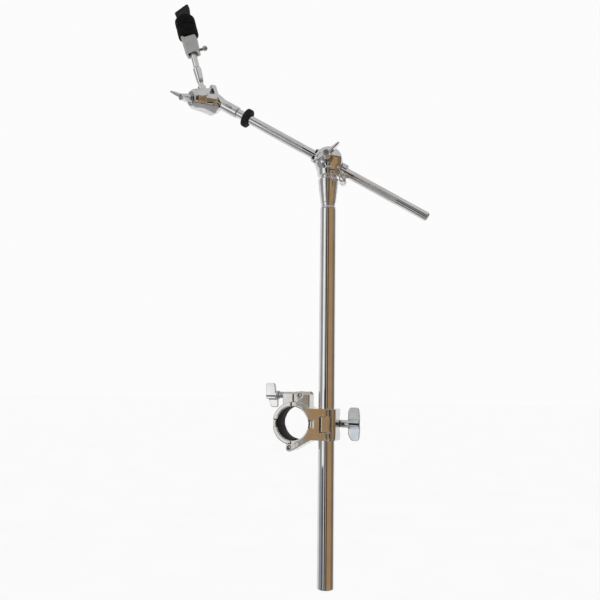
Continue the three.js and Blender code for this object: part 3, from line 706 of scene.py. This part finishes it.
def addPins():
    for name, node, axis, radius, low, high, at in (
        ("ringHingePin", "ring_hinge_pin", "Y", 2.2, -13, 13, ring["hinge"]),
        ("ringBoltPin", "ring_bolt_pin", "Y", 2.1, -6.8, 6.8, ring["boltPin"]),
        ("gateHingePin", "gate_hinge_pin", "Z", 1.6, -16.6, 17.4, tubeBlock["hinge"]),
    ):
        pin = easeEdges(bar(axis, radius, low, high, at=at, sides=48), 0.35, 3)
        settle(pin, name, rowFrame, "clamp", "turnedSteel", [node])
    stud = {"radius": 3.0, "low": 0, "high": 39.7, "threadLow": 14, "pitch": 1.0}
    studPlace = shift(26.3, 0, 0) @ shift(*tubeBlock["stud"]) @ axisTurns["X"]
    threadedBar("poleStud", stud, studPlace, "clamp", ["pole_stud"])
    eye = moved(carve([bar("X", 4.9, -4, 4)], [bar("X", 2.3, -9, 9, sides=40)]), turn(90, "Z"))
    bolt = {"radius": 4.0, "low": 3.2, "high": 41, "threadLow": 18, "pitch": 1.25}
    boltPlace = shift(*ring["boltPin"]) @ turn(180, "Y") @ axisTurns["X"]
    threadedBar("ringBolt", bolt, boltPlace, "swing_bolt", ["ring_bolt"], [eye])


# wing nuts and washers

wingNuts = {
    "pole": {
        "hub": 4.6, "hubLength": 13, "bore": 3.2, "span": 19, "start": 11.3, "length": 26.2, "thick": 3.4,
        "flared": False, "twist": 0,
    },
    "brake": {
        "hub": 5.2, "hubLength": 6, "bore": 3.2, "span": 19.4, "start": 3, "length": 15.4, "thick": 3.2,
        "flared": True, "twist": 90,
    },
    "tilter": {
        "hub": 5, "hubLength": 6, "bore": 3.2, "span": 23, "start": 3, "length": 15.4, "thick": 3.2,
        "flared": True, "twist": 43,
    },
}
nutSeat = 0.3  # from a washer to its nut


def wingLine(nut):
    s, e, hub, span = nut["start"], nut["length"], nut["hub"], nut["span"]
    if nut["flared"]:
        upper = [
            (s, -hub * 0.7), (s, hub * 0.7), (s + 1, span * 0.5, s + 6, span - 1.5),
            (s + 7.5, span + 0.3, e - 1.5, span - 0.2), (e + 0.3, span - 0.8, e - 0.3, span - 2.6),
            (e - 1.8, span * 0.45, e - 4, 0),
        ]
        lower = [
            (e - 1.8, -span * 0.45, e - 0.3, 2.6 - span), (e + 0.3, 0.8 - span, e - 1.5, 0.2 - span),
            (s + 7.5, -span - 0.3, s + 6, 1.5 - span), (s + 1, -span * 0.5, s, -hub * 0.7),
        ]
        return curvedLine([*upper, *lower])[:-1]
    return curvedLine([
        (s, -span * 0.6), (s, span * 0.6), (s, span, s + 4, span), (e - 4.5, span),
        (e - 2, span, e - 1.5, span * 0.75), (e, 0, e - 1.5, -span * 0.75), (e - 2, -span, e - 4.5, -span),
        (s + 5, -span), (s + 2.5, -span, s, -span * 0.6),
    ])[:-1]


def wingNutShape(nut):
    hub, thick, span = nut["hub"], nut["thick"], nut["span"]
    wings = prism(wingLine(nut), -thick / 2, thick / 2)
    collar = bar("X", hub, 0, nut["hubLength"])
    nose = bar("X", hub * 0.96, nut["hubLength"] - 1, nut["length"] - 2, farRadius=hub * 0.78)
    made = carve([wings, collar, nose], [bar("X", nut["bore"], -2, nut["length"] + 2, sides=48)])

    def thicken(point):
        # wings are stout by the hub and thin out to their tips
        reach = min(abs(point.z) / span, 1)
        if abs(point.y) <= thick / 2 + 0.2 and abs(point.z) > hub:
            point.y *= 1.3 - 0.75 * reach * reach
        return point

    return moved(reshape(castSkin(made, 0.34, 7), thicken), turn(nut["twist"], "X"))


def offsetWingNut():
    # one wing stands before the hub and the other behind it
    near = curvedLine([
        (1, 4.6), (2.2, -11), (2.6, -14, 5.2, -14), (11.5, -14), (14.3, -14, 14.4, -11), (13.9, 4.6),
    ])
    far = curvedLine([
        (0.6, -4.6), (14.2, -4.6), (14.2, 2), (10.2, 12.6), (9.6, 14.6, 7.5, 14.6), (2.6, 14.6),
        (0.7, 14.6, 0.6, 12),
    ])
    solids = [prism(near, -4.6, -1.2), prism(far, 1.2, 4.6), bar("X", 5, 0, 13.6)]
    return castSkin(carve(solids, [bar("X", 4.2, -1, 20, sides=48)]), 0.34, 6)


def washerShape(outer, inner, thick):
    c = 0.2
    return lathe([
        (inner + c, 0), (outer - c, 0), (outer, c), (outer, thick - c), (outer - c, thick),
        (inner + c, thick), (inner, thick - c), (inner, c),
    ], 64, "X")


def addNuts():
    for stem, place, body, washer in (
        ("ring", ringNutFrame, "ring_nut", (5, 4.2, 1.2)),
        ("pole", poleNutFrame, "gate_nut", (7, 3.2, 1.4)),
        ("brake", brakeNutFrame, "brake_nut", (7, 3.2, 1.4)),
        ("tilter", tilterNutFrame, "tilter_nut", (6.4, 3.2, 1.4)),
    ):
        shape = wingNutShape(wingNuts[stem]) if stem in wingNuts else offsetWingNut()
        nut = moved(shape, shift(washer[2] + nutSeat, 0, 0))
        settle(nut, stem + "WingNut", place, body, "castChrome", [stem + "_wing_nut"], 60)
        disc = washerShape(*washer)
        settle(disc, stem + "Washer", place, body + "_washer", "turnedSteel", [stem + "_washer"])


# upright tube, brake and arm

pole = {"outer": 9.525, "inner": 8.1, "low": -181, "high": 254}
brake = {"disc": 17.2, "boltHole": 3.3, "springPocket": 6.9, "springRadius": 4.2, "springWire": 0.55}
arm = {
    "radius": 5.55, "inner": 4.0, "clear": 5.75, "left": -156, "right": 138, "ringAt": -121,
    "knurlPitch": 0.62, "knurlSpans": [("armKnurlLeft", -97.0, 60.0), ("armKnurlRight", 36.0, 60.0)],
}


def addPole():
    r, i, low, high = pole["outer"], pole["inner"], pole["low"], pole["high"]
    made = lathe([
        (i + 0.3, low), (r - 0.5, low), (r - 0.15, low + 0.25), (r, low + 0.6), (r, high - 0.4),
        (r - 0.3, high), (i + 0.2, high), (i, high - 0.2), (i, low + 0.3),
    ], 160)
    settle(made, "poleTube", poleFrame, "pole", "brightChrome", ["pole_tube"])


def springCoil(length):
    values = {"Radius": brake["springRadius"], "Turns": 3.0, "Length": length, "Wire": brake["springWire"]}
    return grow(springTree, values)


def addBrakeBase():
    z = layout["brakeHeight"]
    stem = lathe([
        (0, 228), (7.4, 228), (7.9, 229), (7.9, 254.3), (9.5, 254.3), (9.5, 255.3), (9.2, 255.8),
        (8.6, 256.2), (8.6, 260), (8.9, 261.2), (9.3, 262), (10.9, 275), (12.3, 288.5), (12.4, 290.2),
        (11.9, 291), (0, 291),
    ], 120)
    neck = carve([bar("Z", 10.6, 290, 300)], keep=[block((-20, -20, 289), (20, -0.3, 301))])
    bowl = lathe([(0, 294), (12.2, 294), (13.2, 295), (13.5, 298), (13.2, 306), (0, 306)], 96)
    bowl = carve([bowl], keep=[block((-20, -20, 293), (20, -0.3, 307))])
    face = lathe([
        (0, 0.3), (brake["disc"], 0.3), (brake["disc"], 4.6), (16.9, 6.2), (16.3, 7.9), (15.2, 10),
        (13.6, 12), (11.8, 13.8), (9.9, 15.3), (8, 16.4), (7.6, 16.6), (0, 16.6),
    ], 120)
    face = moved(face, shift(0, 0, z) @ turn(90, "X"))
    holes = [
        bar("Y", brake["boltHole"], -30, 5, at=(0, 0, z), sides=40),
        bar("Y", brake["springPocket"], -7.4, 5, at=(0, 0, z)),
    ]
    made = castSkin(carve([stem, neck, bowl, face], holes), 0.45, 8)
    settle(made, "brakeBase", boomFrame, "brake", "castChrome", ["brake_base"], 60)
    coil = springCoil(3.4)
    place = brakeFrame @ shift(0, -3.3, 0) @ turn(90, "X")
    settle(coil, "brakeSpring", place, "brake", "turnedSteel", ["brake_spring"], 70)


def addBrakeHead():
    s, _, p = layout["lockAt"]
    depth, clear = layout["armDepth"], arm["clear"]
    sleeve = lathe([
        (0, -21.7), (8.2, -21.7), (8.8, -21.1), (8.8, 23.4), (8.2, 24), (0, 24),
    ], 96, "X")
    sleeve = moved(sleeve, shift(0, depth, 0))
    dome = carve([bar("Y", brake["disc"], 0.3, 17, sides=120)], keep=[ball(21.5)])
    behind = block((-40, 0.3, -40), (40, 40, 40))
    body = carve([dome, sleeve], keep=[behind])
    webLine = ((14, -2), (26, -2), (30.4, p), (26, p - 4), (21, p))
    web = hull([(x, y, z) for y in (0.4, 15) for x, z in webLine])
    lug = bar("Y", 4.4, -3.5, 15.5, at=(s, 0, p))
    holes = [
        bar("X", clear, -40, 40, at=(0, depth, 0), sides=96),
        bar("X", 8.8, -3.8, 3.8, at=(0, depth, 0)),
        block((-3.8, 0, -8.8), (3.8, depth, 8.8)),
        block((12, depth - 0.6, -30), (40, depth + 0.6, -3)),
        bar("Y", 2.35, -30, 40, at=(s, 0, p), sides=40),
    ]
    made = castSkin(carve([body, web, lug], holes), 0.42, 7)
    settle(made, "brakeHead", headFrame, "head", "castChrome", ["brake_head"], 60)
    eye = carve([bar("X", 8.4, -3.3, 3.3, at=(0, depth, 0))], [bar("X", clear, -9, 9, at=(0, depth, 0))])
    eye = moved(easeEdges(eye, 0.4), turn(-90, "X"))
    bolt = {"radius": 3.0, "low": 1.2, "high": 33, "threadLow": 12, "pitch": 1.0}
    threadedBar("brakeEyeBolt", bolt, headFrame @ turn(90, "X"), "head", ["brake_eye_bolt"], [eye])


def addLockScrew():
    body = lathe([
        (0, -15), (1.9, -15), (2.1, -14.6), (2.1, 4.3), (3.2, 4.3), (3.4, 4.6), (3.4, 16), (3.1, 18.4),
        (2.2, 20), (1, 20.5), (0, 20.6),
    ], 56, "X")
    wings = prism(roundedRect(15, 21, -11, 11, 2.9), -1.2, 1.2, "Z")
    made = castSkin(carve([body, wings]), 0.3, 4)
    settle(made, "armLockScrew", lockFrame, "arm_lock", "castChrome", ["arm_lock_screw"], 60)


def addArm():
    r, i, left, right, pitch = arm["radius"], arm["inner"], arm["left"], arm["right"], arm["knurlPitch"]
    outside = lathe([
        (0, left), (r - 0.4, left), (r, left + 0.4), (r, right - 1.8), (r - 0.3, right - 1.2),
        (r - 1.6, right), (0, right),
    ], 128, "X")
    made = carve([outside], [bar("X", i, left - 1, right - 4, sides=96)])
    settle(made, "boomArm", armFrame, "arm", "brightChrome", ["boom_arm"])
    for name, start, length in arm["knurlSpans"]:
        values = {
            "Radius": r - 0.06, "Start": start, "Length": length, "Rows": int(length / pitch),
            "Around": 30, "Size": pitch, "Rise": 0.16,
        }
        settle(grow(knurling, values), name, armFrame, "arm", "brightChrome", crease=20)


def addArmRing():
    bore = arm["clear"]
    made = lathe([
        (bore, -3.0), (7.5, -3.5), (10.6, -3.1), (11.5, -2.7), (11.75, -1.9), (11.75, 1.9), (11.5, 2.7),
        (10.6, 3.2), (8.2, 4.0), (6.4, 4.1), (bore, 3.7),
    ], 96, "X")
    place = armFrame @ shift(arm["ringAt"], 0, 0)
    settle(made, "armRing", place, "memory_ring", "blackRubber", ["arm_ring"], 50)


# tilter

armSleeve = {"radius": 7, "left": -158.4, "right": -135.3, "bottom": -156.8}
tilterDrum = {"radius": 9.7, "boltHole": 3.2, "finRadius": 14.5, "toothRadius": 10.1, "teeth": 24}


def inTilter(shape):
    return moved(shape, tilterFrame)


def inArm(shape):
    return moved(shape, armFrame)


def addTilterBase():
    fin = curvedLine([(-9.5, -10), (-8.5, 17), (-8, 21.5, -4.5, 21), (0, 20, 4.5, 15)], 12)
    radius, steps = tilterDrum["finRadius"], 40
    for i in range(steps + 1):
        angle = 1.2 - (1.2 + math.pi * 0.75) * i / steps
        fin.append((radius * math.cos(angle), radius * math.sin(angle)))
    plate = inTilter(prism(fin, 11, 17, "X"))
    drum = inTilter(carve([
        bar("X", tilterDrum["radius"], -16.9, 0, sides=96), bar("X", 10.6, -5.5, 12, sides=96),
    ]))
    sleeve = inArm(bar("X", armSleeve["radius"], armSleeve["left"], armSleeve["right"], sides=96))
    plateCorners = ((-9.3, -9.5), (-8.6, 8), (2, 4), (2, -12))
    corners = [tilterFrame @ Vector((x, y, z)) for x in (11.2, 16.8) for y, z in plateCorners]
    x, rim, steps = armSleeve["left"] + 1, armSleeve["radius"] - 0.1, 24
    for i in range(steps):
        angle = math.tau * i / steps
        corners.append(armFrame @ Vector((x, rim * math.cos(angle), rim * math.sin(angle))))
    blend = hull(corners)
    holes = [
        inArm(bar("X", arm["clear"], armSleeve["bottom"], 0, sides=96)),
        inTilter(bar("X", tilterDrum["boltHole"], -30, 40, sides=40)),
        inTilter(bar("X", 5.4, -20, -11)),
        inTilter(bar("X", 6.5, 17.15, 40)),
        inArm(block((-151, -30, -0.9), (-143, 0, 0.9))),
    ]
    made = castSkin(carve([plate, drum, blend, sleeve], holes), 0.4, 6)
    settle(made, "tilterBase", rowFrame, "tilter", "castChrome", ["tilter_base"], 60)
    values = {
        "Radius": tilterDrum["toothRadius"], "Count": tilterDrum["teeth"],
        "Width": 1.1, "Height": 1.4, "Length": 11.0,
    }
    rack = moved(moved(grow(teeth, values), turn(90, "Y")), shift(-11, 0, 0))
    settle(rack, "tilterTeeth", tilterFrame, "tilter", "castChrome", crease=30)
    pin = easeEdges(block((-150.6, -1.3, -0.6), (-143.4, -0.2, 0.6)), 0.15)
    settle(pin, "sleevePin", armFrame @ shift(0, -6, 0), "tilter", "turnedSteel", ["sleeve_pin"])
    head = moved(bar("X", 6, 17.3, 20.8, sides=6), turn(90, "Y"))
    bolt = {"radius": 3.0, "low": -18, "high": 36, "threadLow": 21.5, "pitch": 1.0}
    threadedBar("tilterBolt", bolt, tilterFrame @ turn(-90, "Y"), "tilter", ["tilter_bolt"],
                [easeEdges(head, 0.35)])
    coil = springCoil(5.4)
    settle(coil, "tilterSpring", tilterFrame @ shift(-17, 0, 0) @ axisTurns["X"], "tilter", "turnedSteel",
           ["tilter_spring"], 70)


def addTilterHead():
    hood = lathe([
        (0, -21.5), (8.8, -21.5), (9.4, -21.2), (12.2, -17.5), (12.9, -14.2), (13.4, -11), (14.2, -5),
        (15, 0), (16.2, 5.4), (17.5, 9.9), (17.2, 10.3), (15, 10.3), (14.5, 9.8), (11.3, 0), (11.3, -17.5),
        (0, -17.5),
    ], 128, "X")
    opening = [Vector((-16.8, -6.6)), *bend((-16.8, -4.4), (-9, -2.6), (-5, -1.4), (-1, 3))]
    opening += bend((-1, 3), (2, 7), (5, 13), (12, 14.6))
    opening += bend((12, -12.4), (2, -11.8), (-8, -9.6), (-16.8, -6.6))
    hood = carve([hood], [prism(opening[:-1], -30, 0)])
    collar = lathe([(0, 12.4), (5.9, 12.4), (5.4, 16), (5.4, 19.2), (4.8, 19.8), (0, 19.8)], 72)
    holes = [
        bar("X", 11.3, -17.5, 20, sides=120), bar("X", 3.3, -40, 0, sides=40), bar("Z", 3.2, 0, 30, sides=40),
    ]
    made = castSkin(carve([hood, collar], holes), 0.4, 6)
    settle(made, "tilterHead", tilterFrame, "cymbal_post", "castChrome", ["tilter_head"], 60)


def addRod():
    made = lathe([
        (0, 12.2), (3, 12.2), (3, 20.1), (3.5, 20.1), (3.5, 24), (4.6, 27.6), (4.2, 28), (4.2, 28.6),
        (4.7, 29), (5.4, 44), (5.2, 44.8), (4, 46.5), (4, 113), (3.7, 113.4), (3.7, 123.6), (3.2, 124.4),
        (0, 124.4),
    ], 96)
    settle(made, "cymbalRod", tilterFrame, "cymbal_post", "brightChrome", ["cymbal_rod"])
    ridge = grow(threadTree, {"Radius": 3.7, "Turns": 7.5, "Length": 9.4, "Wire": 0.3})
    ridge = moved(ridge, shift(0, 0, 113.8))
    settle(ridge, "cymbalRodThread", tilterFrame, "cymbal_post", "turnedSteel", crease=70)


stopper = {"low": 65.6, "high": 90, "bore": 4.2, "taper": 0.1, "taperLength": 24, "screwHeight": 69}


def addStopper():
    low, level = stopper["low"], 87.4
    body = prism(roundedRect(-9.6, 9.6, -8.5, 8.5, 3), low, stopper["high"], "Z")
    scoopLine = curvedLine([(-6.6, 91), (-5.9, level, -2.5, level), (11, level), (11, 99), (-6.6, 99)])
    made = carve([body], [
        prism(scoopLine, -20, 20),
        block((-6.6, -5.5, 60), (6.6, 5.5, 74)),
        bar("Z", stopper["bore"], 50, 100, sides=48),
        bar("X", 2, 0, 20, at=(0, 0, stopper["screwHeight"]), sides=32),
    ])

    def taper(point):
        # narrower at its foot
        rise = min(max((point.z - low) / stopper["taperLength"], 0), 1)
        scale = 1 - stopper["taper"] * (1 - rise)
        return Vector((point.x * scale, point.y * scale, point.z))

    made = reshape(castSkin(made, 0.34, 5), taper)
    settle(made, "stopperBlock", topFrame, "stopper", "stopperGrey", ["stopper_block"], 60)
    screw = lathe([(0, 4.6), (1.6, 4.6), (1.85, 4.9), (1.85, 13.9), (0, 14)], 48, "X")
    made = castSkin(carve([screw, ball(3.4, (16.6, 0, 0), 24)]), 0.22, 3)
    place = topFrame @ shift(0, 0, stopper["screwHeight"])
    settle(made, "stopperScrew", place, "stopper_lock", "turnedSteel", ["stopper_screw"], 60)


# felts, sleeve and plastic nut

felt = {"radius": 13.0, "hole": 6.05, "fuzz": 0.12, "layer": 0.04}


def feltShape(low, high, crown):
    r, h = felt["radius"], felt["hole"]
    profile = [
        (h + 0.4, low), (r - 1.0, low), (r - 0.2, low + 0.5), (r + 0.1, low + 1.6),
        (r + 0.15, (low + high) / 2), (r + 0.05, high - crown), (r - 0.5, high - crown * 0.45),
        (r - crown, high), (h + 0.5, high - 0.05), (h, high - 0.6), (h, low + 0.5),
    ]
    made = castSkin(lathe(profile, 96), 0.42, 3)

    def fuzz(point):
        radial = Vector((point.x, point.y, 0)).normalized()
        lumps = noise.noise(point * 0.55) + 0.6 * noise.noise(point * 1.7)
        layers = math.sin((point.z - low) * 2.9) * 0.5
        return point + radial * (felt["fuzz"] * (lumps - 1) + felt["layer"] * layers)

    return reshape(made, fuzz)


def addFelts():
    for name, node, body, low, high, crown in (
        ("lowerFelt", "lower_felt", "stopper", 90.3, 103.5, 1.4),
        ("upperFelt", "upper_felt", "felt_top", 103.8, 117.0, 3.4),
    ):
        made = settle(feltShape(low, high, crown), name, topFrame, body, "pressedFelt", [node], 80)
    sleeve = lathe([(4.2, 90.3), (5.5, 90.3), (5.7, 90.6), (5.7, 116.3), (5.5, 116.6), (4.2, 116.6)], 64)
    settle(sleeve, "cymbalSleeve", topFrame, "stopper", "nylonMoulding", ["cymbal_sleeve"])
    disc = lathe([(4.2, 117.3), (9.3, 117.3), (9.6, 117.6), (9.6, 118.2), (9.3, 118.5), (4.2, 118.5)], 64)
    settle(disc, "topWasher", topFrame, "cymbal_washer", "blackRubber", ["top_washer"])


def addCymbalNut():
    paddle = curvedLine([
        (-8.6, 119.2), (8.6, 119.2), (9.9, 131), (10.1, 134.4, 7, 133.8), (-8, 128.2),
        (-10, 127.4, -9.8, 125),
    ])
    hub = lathe([(0, 118.8), (7.2, 118.8), (7.5, 119.1), (7.5, 121.9), (7.1, 122.6), (0, 122.6)], 72)
    nose = lathe([(0, 122), (5.6, 122), (5.4, 124.6), (4.4, 125.9), (0, 126.2)], 72)
    made = carve([hub, nose, prism(paddle, -3.7, 3.7)], [bar("Z", 4.2, 110, 124.9, sides=48)])
    made = castSkin(made, 0.34, 8)
    settle(made, "cymbalWingNut", topFrame, "cymbal_nut", "nylonMoulding", ["cymbal_wing_nut"], 60)


addSaddle()
addJaw()
addLining("saddleLining", "saddle_liner", "clamp", -1.55, 1.55)
addLining("jawLining", "jaw_liner", "jaw", 1.7, 4.55)
addGate()
addPins()
print("rack clamp dressed")
addNuts()
print("wing nuts dressed")
addPole()
addBrakeBase()
addBrakeHead()
addLockScrew()
addArm()
addArmRing()
print("tube, brake and arm dressed")
addTilterBase()
addTilterHead()
addRod()
addStopper()
addFelts()
addCymbalNut()
print("tilter and cymbal post dressed")


# floor, light and camera

# each panel is its start and end angle from the viewer turning right, lowest and highest point, colour
studio = {
    "floor": -0.9, "floorHalf": 30, "floorGlow": 0.45, "room": 0.55, "backdrop": 0.97,
    "tentRadius": 1.6, "panelSteps": 8, "carpet": -1.95, "carpetGlow": (0.34, 0.34, 0.35),
    "panels": [
        (-180, -108, -1.9, 1.2, (0.75, 0.75, 0.75)),
        (-108, -66, -1.9, 1.2, (0.30, 0.30, 0.30)),
        (-66, -41.2, -0.25, 1.2, (0.95, 0.95, 0.95)),
        (-66, -41.2, -1.9, -0.25, (0.10, 0.12, 0.14)),
        (-41.2, -39.8, -1.9, 1.2, (0.32, 0.31, 0.30)),
        (-39.8, -36.3, -1.9, 1.2, (0.44, 0.28, 0.14)),
        (-36.3, -29, 0.02, 1.2, (0.50, 0.53, 0.52)),
        (-36.3, -29, -0.16, 0.02, (0.06, 0.06, 0.07)),
        (-36.3, -29, -1.9, -0.16, (0.72, 0.78, 0.84)),
        (-29, -12, -1.9, 1.2, (0.02, 0.02, 0.02)),
        (-12, -5, -1.9, 1.2, (0.45, 0.45, 0.45)),
        (-5, 2, -1.9, 1.2, (0.03, 0.03, 0.03)),
        (2, 12, -1.9, 1.2, (0.12, 0.075, 0.04)),
        (12, 70, -1.9, 0.92, (0.38, 0.24, 0.12)),
        (12, 70, 0.92, 1.2, (0.08, 0.07, 0.07)),
        (70, 112, -1.9, 1.2, (0.22, 0.15, 0.09)),
        (112, 120, -1.9, 1.2, (0.05, 0.05, 0.05)),
        (120, 180, -1.9, 1.2, (0.85, 0.85, 0.85)),
    ],
}
viewer = {
    "azimuth": 20, "distance": 0.747, "left": 0.0325, "height": 0.048, "pitch": 7.3, "roll": 0.76,
    "lens": 38.22, "sensor": 36,
}
stageCentre = Vector((layout["poleX"] / 1000, 0, 0))


def glow(name, colour):
    material = bpy.data.materials.new(name)
    material.use_nodes = True
    tree = material.node_tree
    tree.nodes.clear()
    light = addNode(tree, "ShaderNodeEmission", {"Color": (*colour, 1), "Strength": 1})
    addNode(tree, "ShaderNodeOutputMaterial", {"Surface": light.outputs[0]})
    return material


def panelPoint(angle, height):
    # 0 degrees is towards the viewer, positive to the viewer's right
    azimuth = math.radians(viewer["azimuth"] + angle)
    r = studio["tentRadius"]
    return (stageCentre.x + r * math.sin(azimuth), -r * math.cos(azimuth), height)


def addReflector(name, points, faces, colour):
    # seen only as a reflection in the metal
    mesh = bpy.data.meshes.new(name)
    mesh.from_pydata(points, [], faces)
    mesh.materials.append(glow(name + "Glow", colour))
    panel = solidOf(mesh, name)
    panel.visible_camera = False
    panel.visible_shadow = False
    panel.visible_diffuse = False


def addPanel(name, start, end, low, high, colour):
    steps = studio["panelSteps"]
    angles = [start + (end - start) * i / steps for i in range(steps + 1)]
    points = [panelPoint(angle, low) for angle in angles] + [panelPoint(angle, high) for angle in angles]
    faces = [(i, i + 1, i + steps + 2, i + steps + 1) for i in range(steps)]
    addReflector(name, points, faces, colour)


def addReflectors():
    for index, panel in enumerate(studio["panels"]):
        addPanel("reflector" + str(index), *panel)
    edge = [panelPoint(angle, studio["carpet"]) for angle in range(0, 360, 10)]
    addReflector("carpet", edge, [tuple(range(len(edge)))], studio["carpetGlow"])


def addFloor():
    half, z = studio["floorHalf"], studio["floor"]
    mesh = bpy.data.meshes.new("floor")
    corners = [(-half, -half, z), (half, -half, z), (half, half, z), (-half, half, z)]
    mesh.from_pydata(corners, [], [(0, 1, 2, 3)])
    material, tree, shader = newFinish("paleFloor")
    mottle = noiseOf(tree, objectPlace(tree), 3, 3)
    fill(tree, shader, {
        "Base Color": twoTone(tree, mottle, (0.3, 0.7), ((0.9, 0.9, 0.9), (0.93, 0.93, 0.93))),
        "Roughness": 0.9, "Emission Color": (1, 1, 1, 1), "Emission Strength": studio["floorGlow"],
    })
    mesh.materials.append(material)
    floor = solidOf(mesh, "floor")
    floor.visible_glossy = False


def addWorld():
    # the camera sees a pale backdrop, the metal a dimmer room
    world = bpy.data.worlds.new("paleRoom")
    bpy.context.scene.world = world
    world.use_nodes = True
    tree = world.node_tree
    room = fill(tree, tree.nodes["Background"], {"Color": (1, 1, 1, 1), "Strength": studio["room"]})
    pale = (studio["backdrop"],) * 3
    backdrop = addNode(tree, "ShaderNodeBackground", {"Color": (*pale, 1), "Strength": 1})
    seen = tree.nodes.new("ShaderNodeLightPath").outputs["Is Camera Ray"]
    mix = addNode(tree, "ShaderNodeMixShader", {0: seen, 1: room.outputs[0], 2: backdrop.outputs[0]})
    fill(tree, tree.nodes["World Output"], {"Surface": mix.outputs[0]})


def addCamera():
    azimuth, pitch, roll = [math.radians(viewer[key]) for key in ("azimuth", "pitch", "roll")]
    right = Vector((math.cos(azimuth), math.sin(azimuth), 0))
    ahead = Vector((-math.sin(azimuth), math.cos(azimuth), 0))
    lift = Vector((0, 0, viewer["height"]))
    spot = stageCentre - ahead * viewer["distance"] - right * viewer["left"] + lift
    look = ahead * math.cos(pitch) + Vector((0, 0, math.sin(pitch)))
    over = Vector((0, 0, math.cos(pitch))) - ahead * math.sin(pitch)
    across = right * math.cos(roll) + over * math.sin(roll)
    up = over * math.cos(roll) - right * math.sin(roll)
    data = bpy.data.cameras.new("camera")
    data.sensor_width = viewer["sensor"]
    data.lens = viewer["lens"]
    data.clip_start = 0.01
    camera = bpy.data.objects.new("camera", data)
    bpy.context.scene.collection.objects.link(camera)
    camera.matrix_world = Matrix.Translation(spot) @ Matrix((across, up, -look)).transposed().to_4x4()
    bpy.context.scene.camera = camera


addReflectors()
addFloor()
addWorld()
addCamera()
bpy.context.scene.view_settings.view_transform = "Standard"
print("studio set")
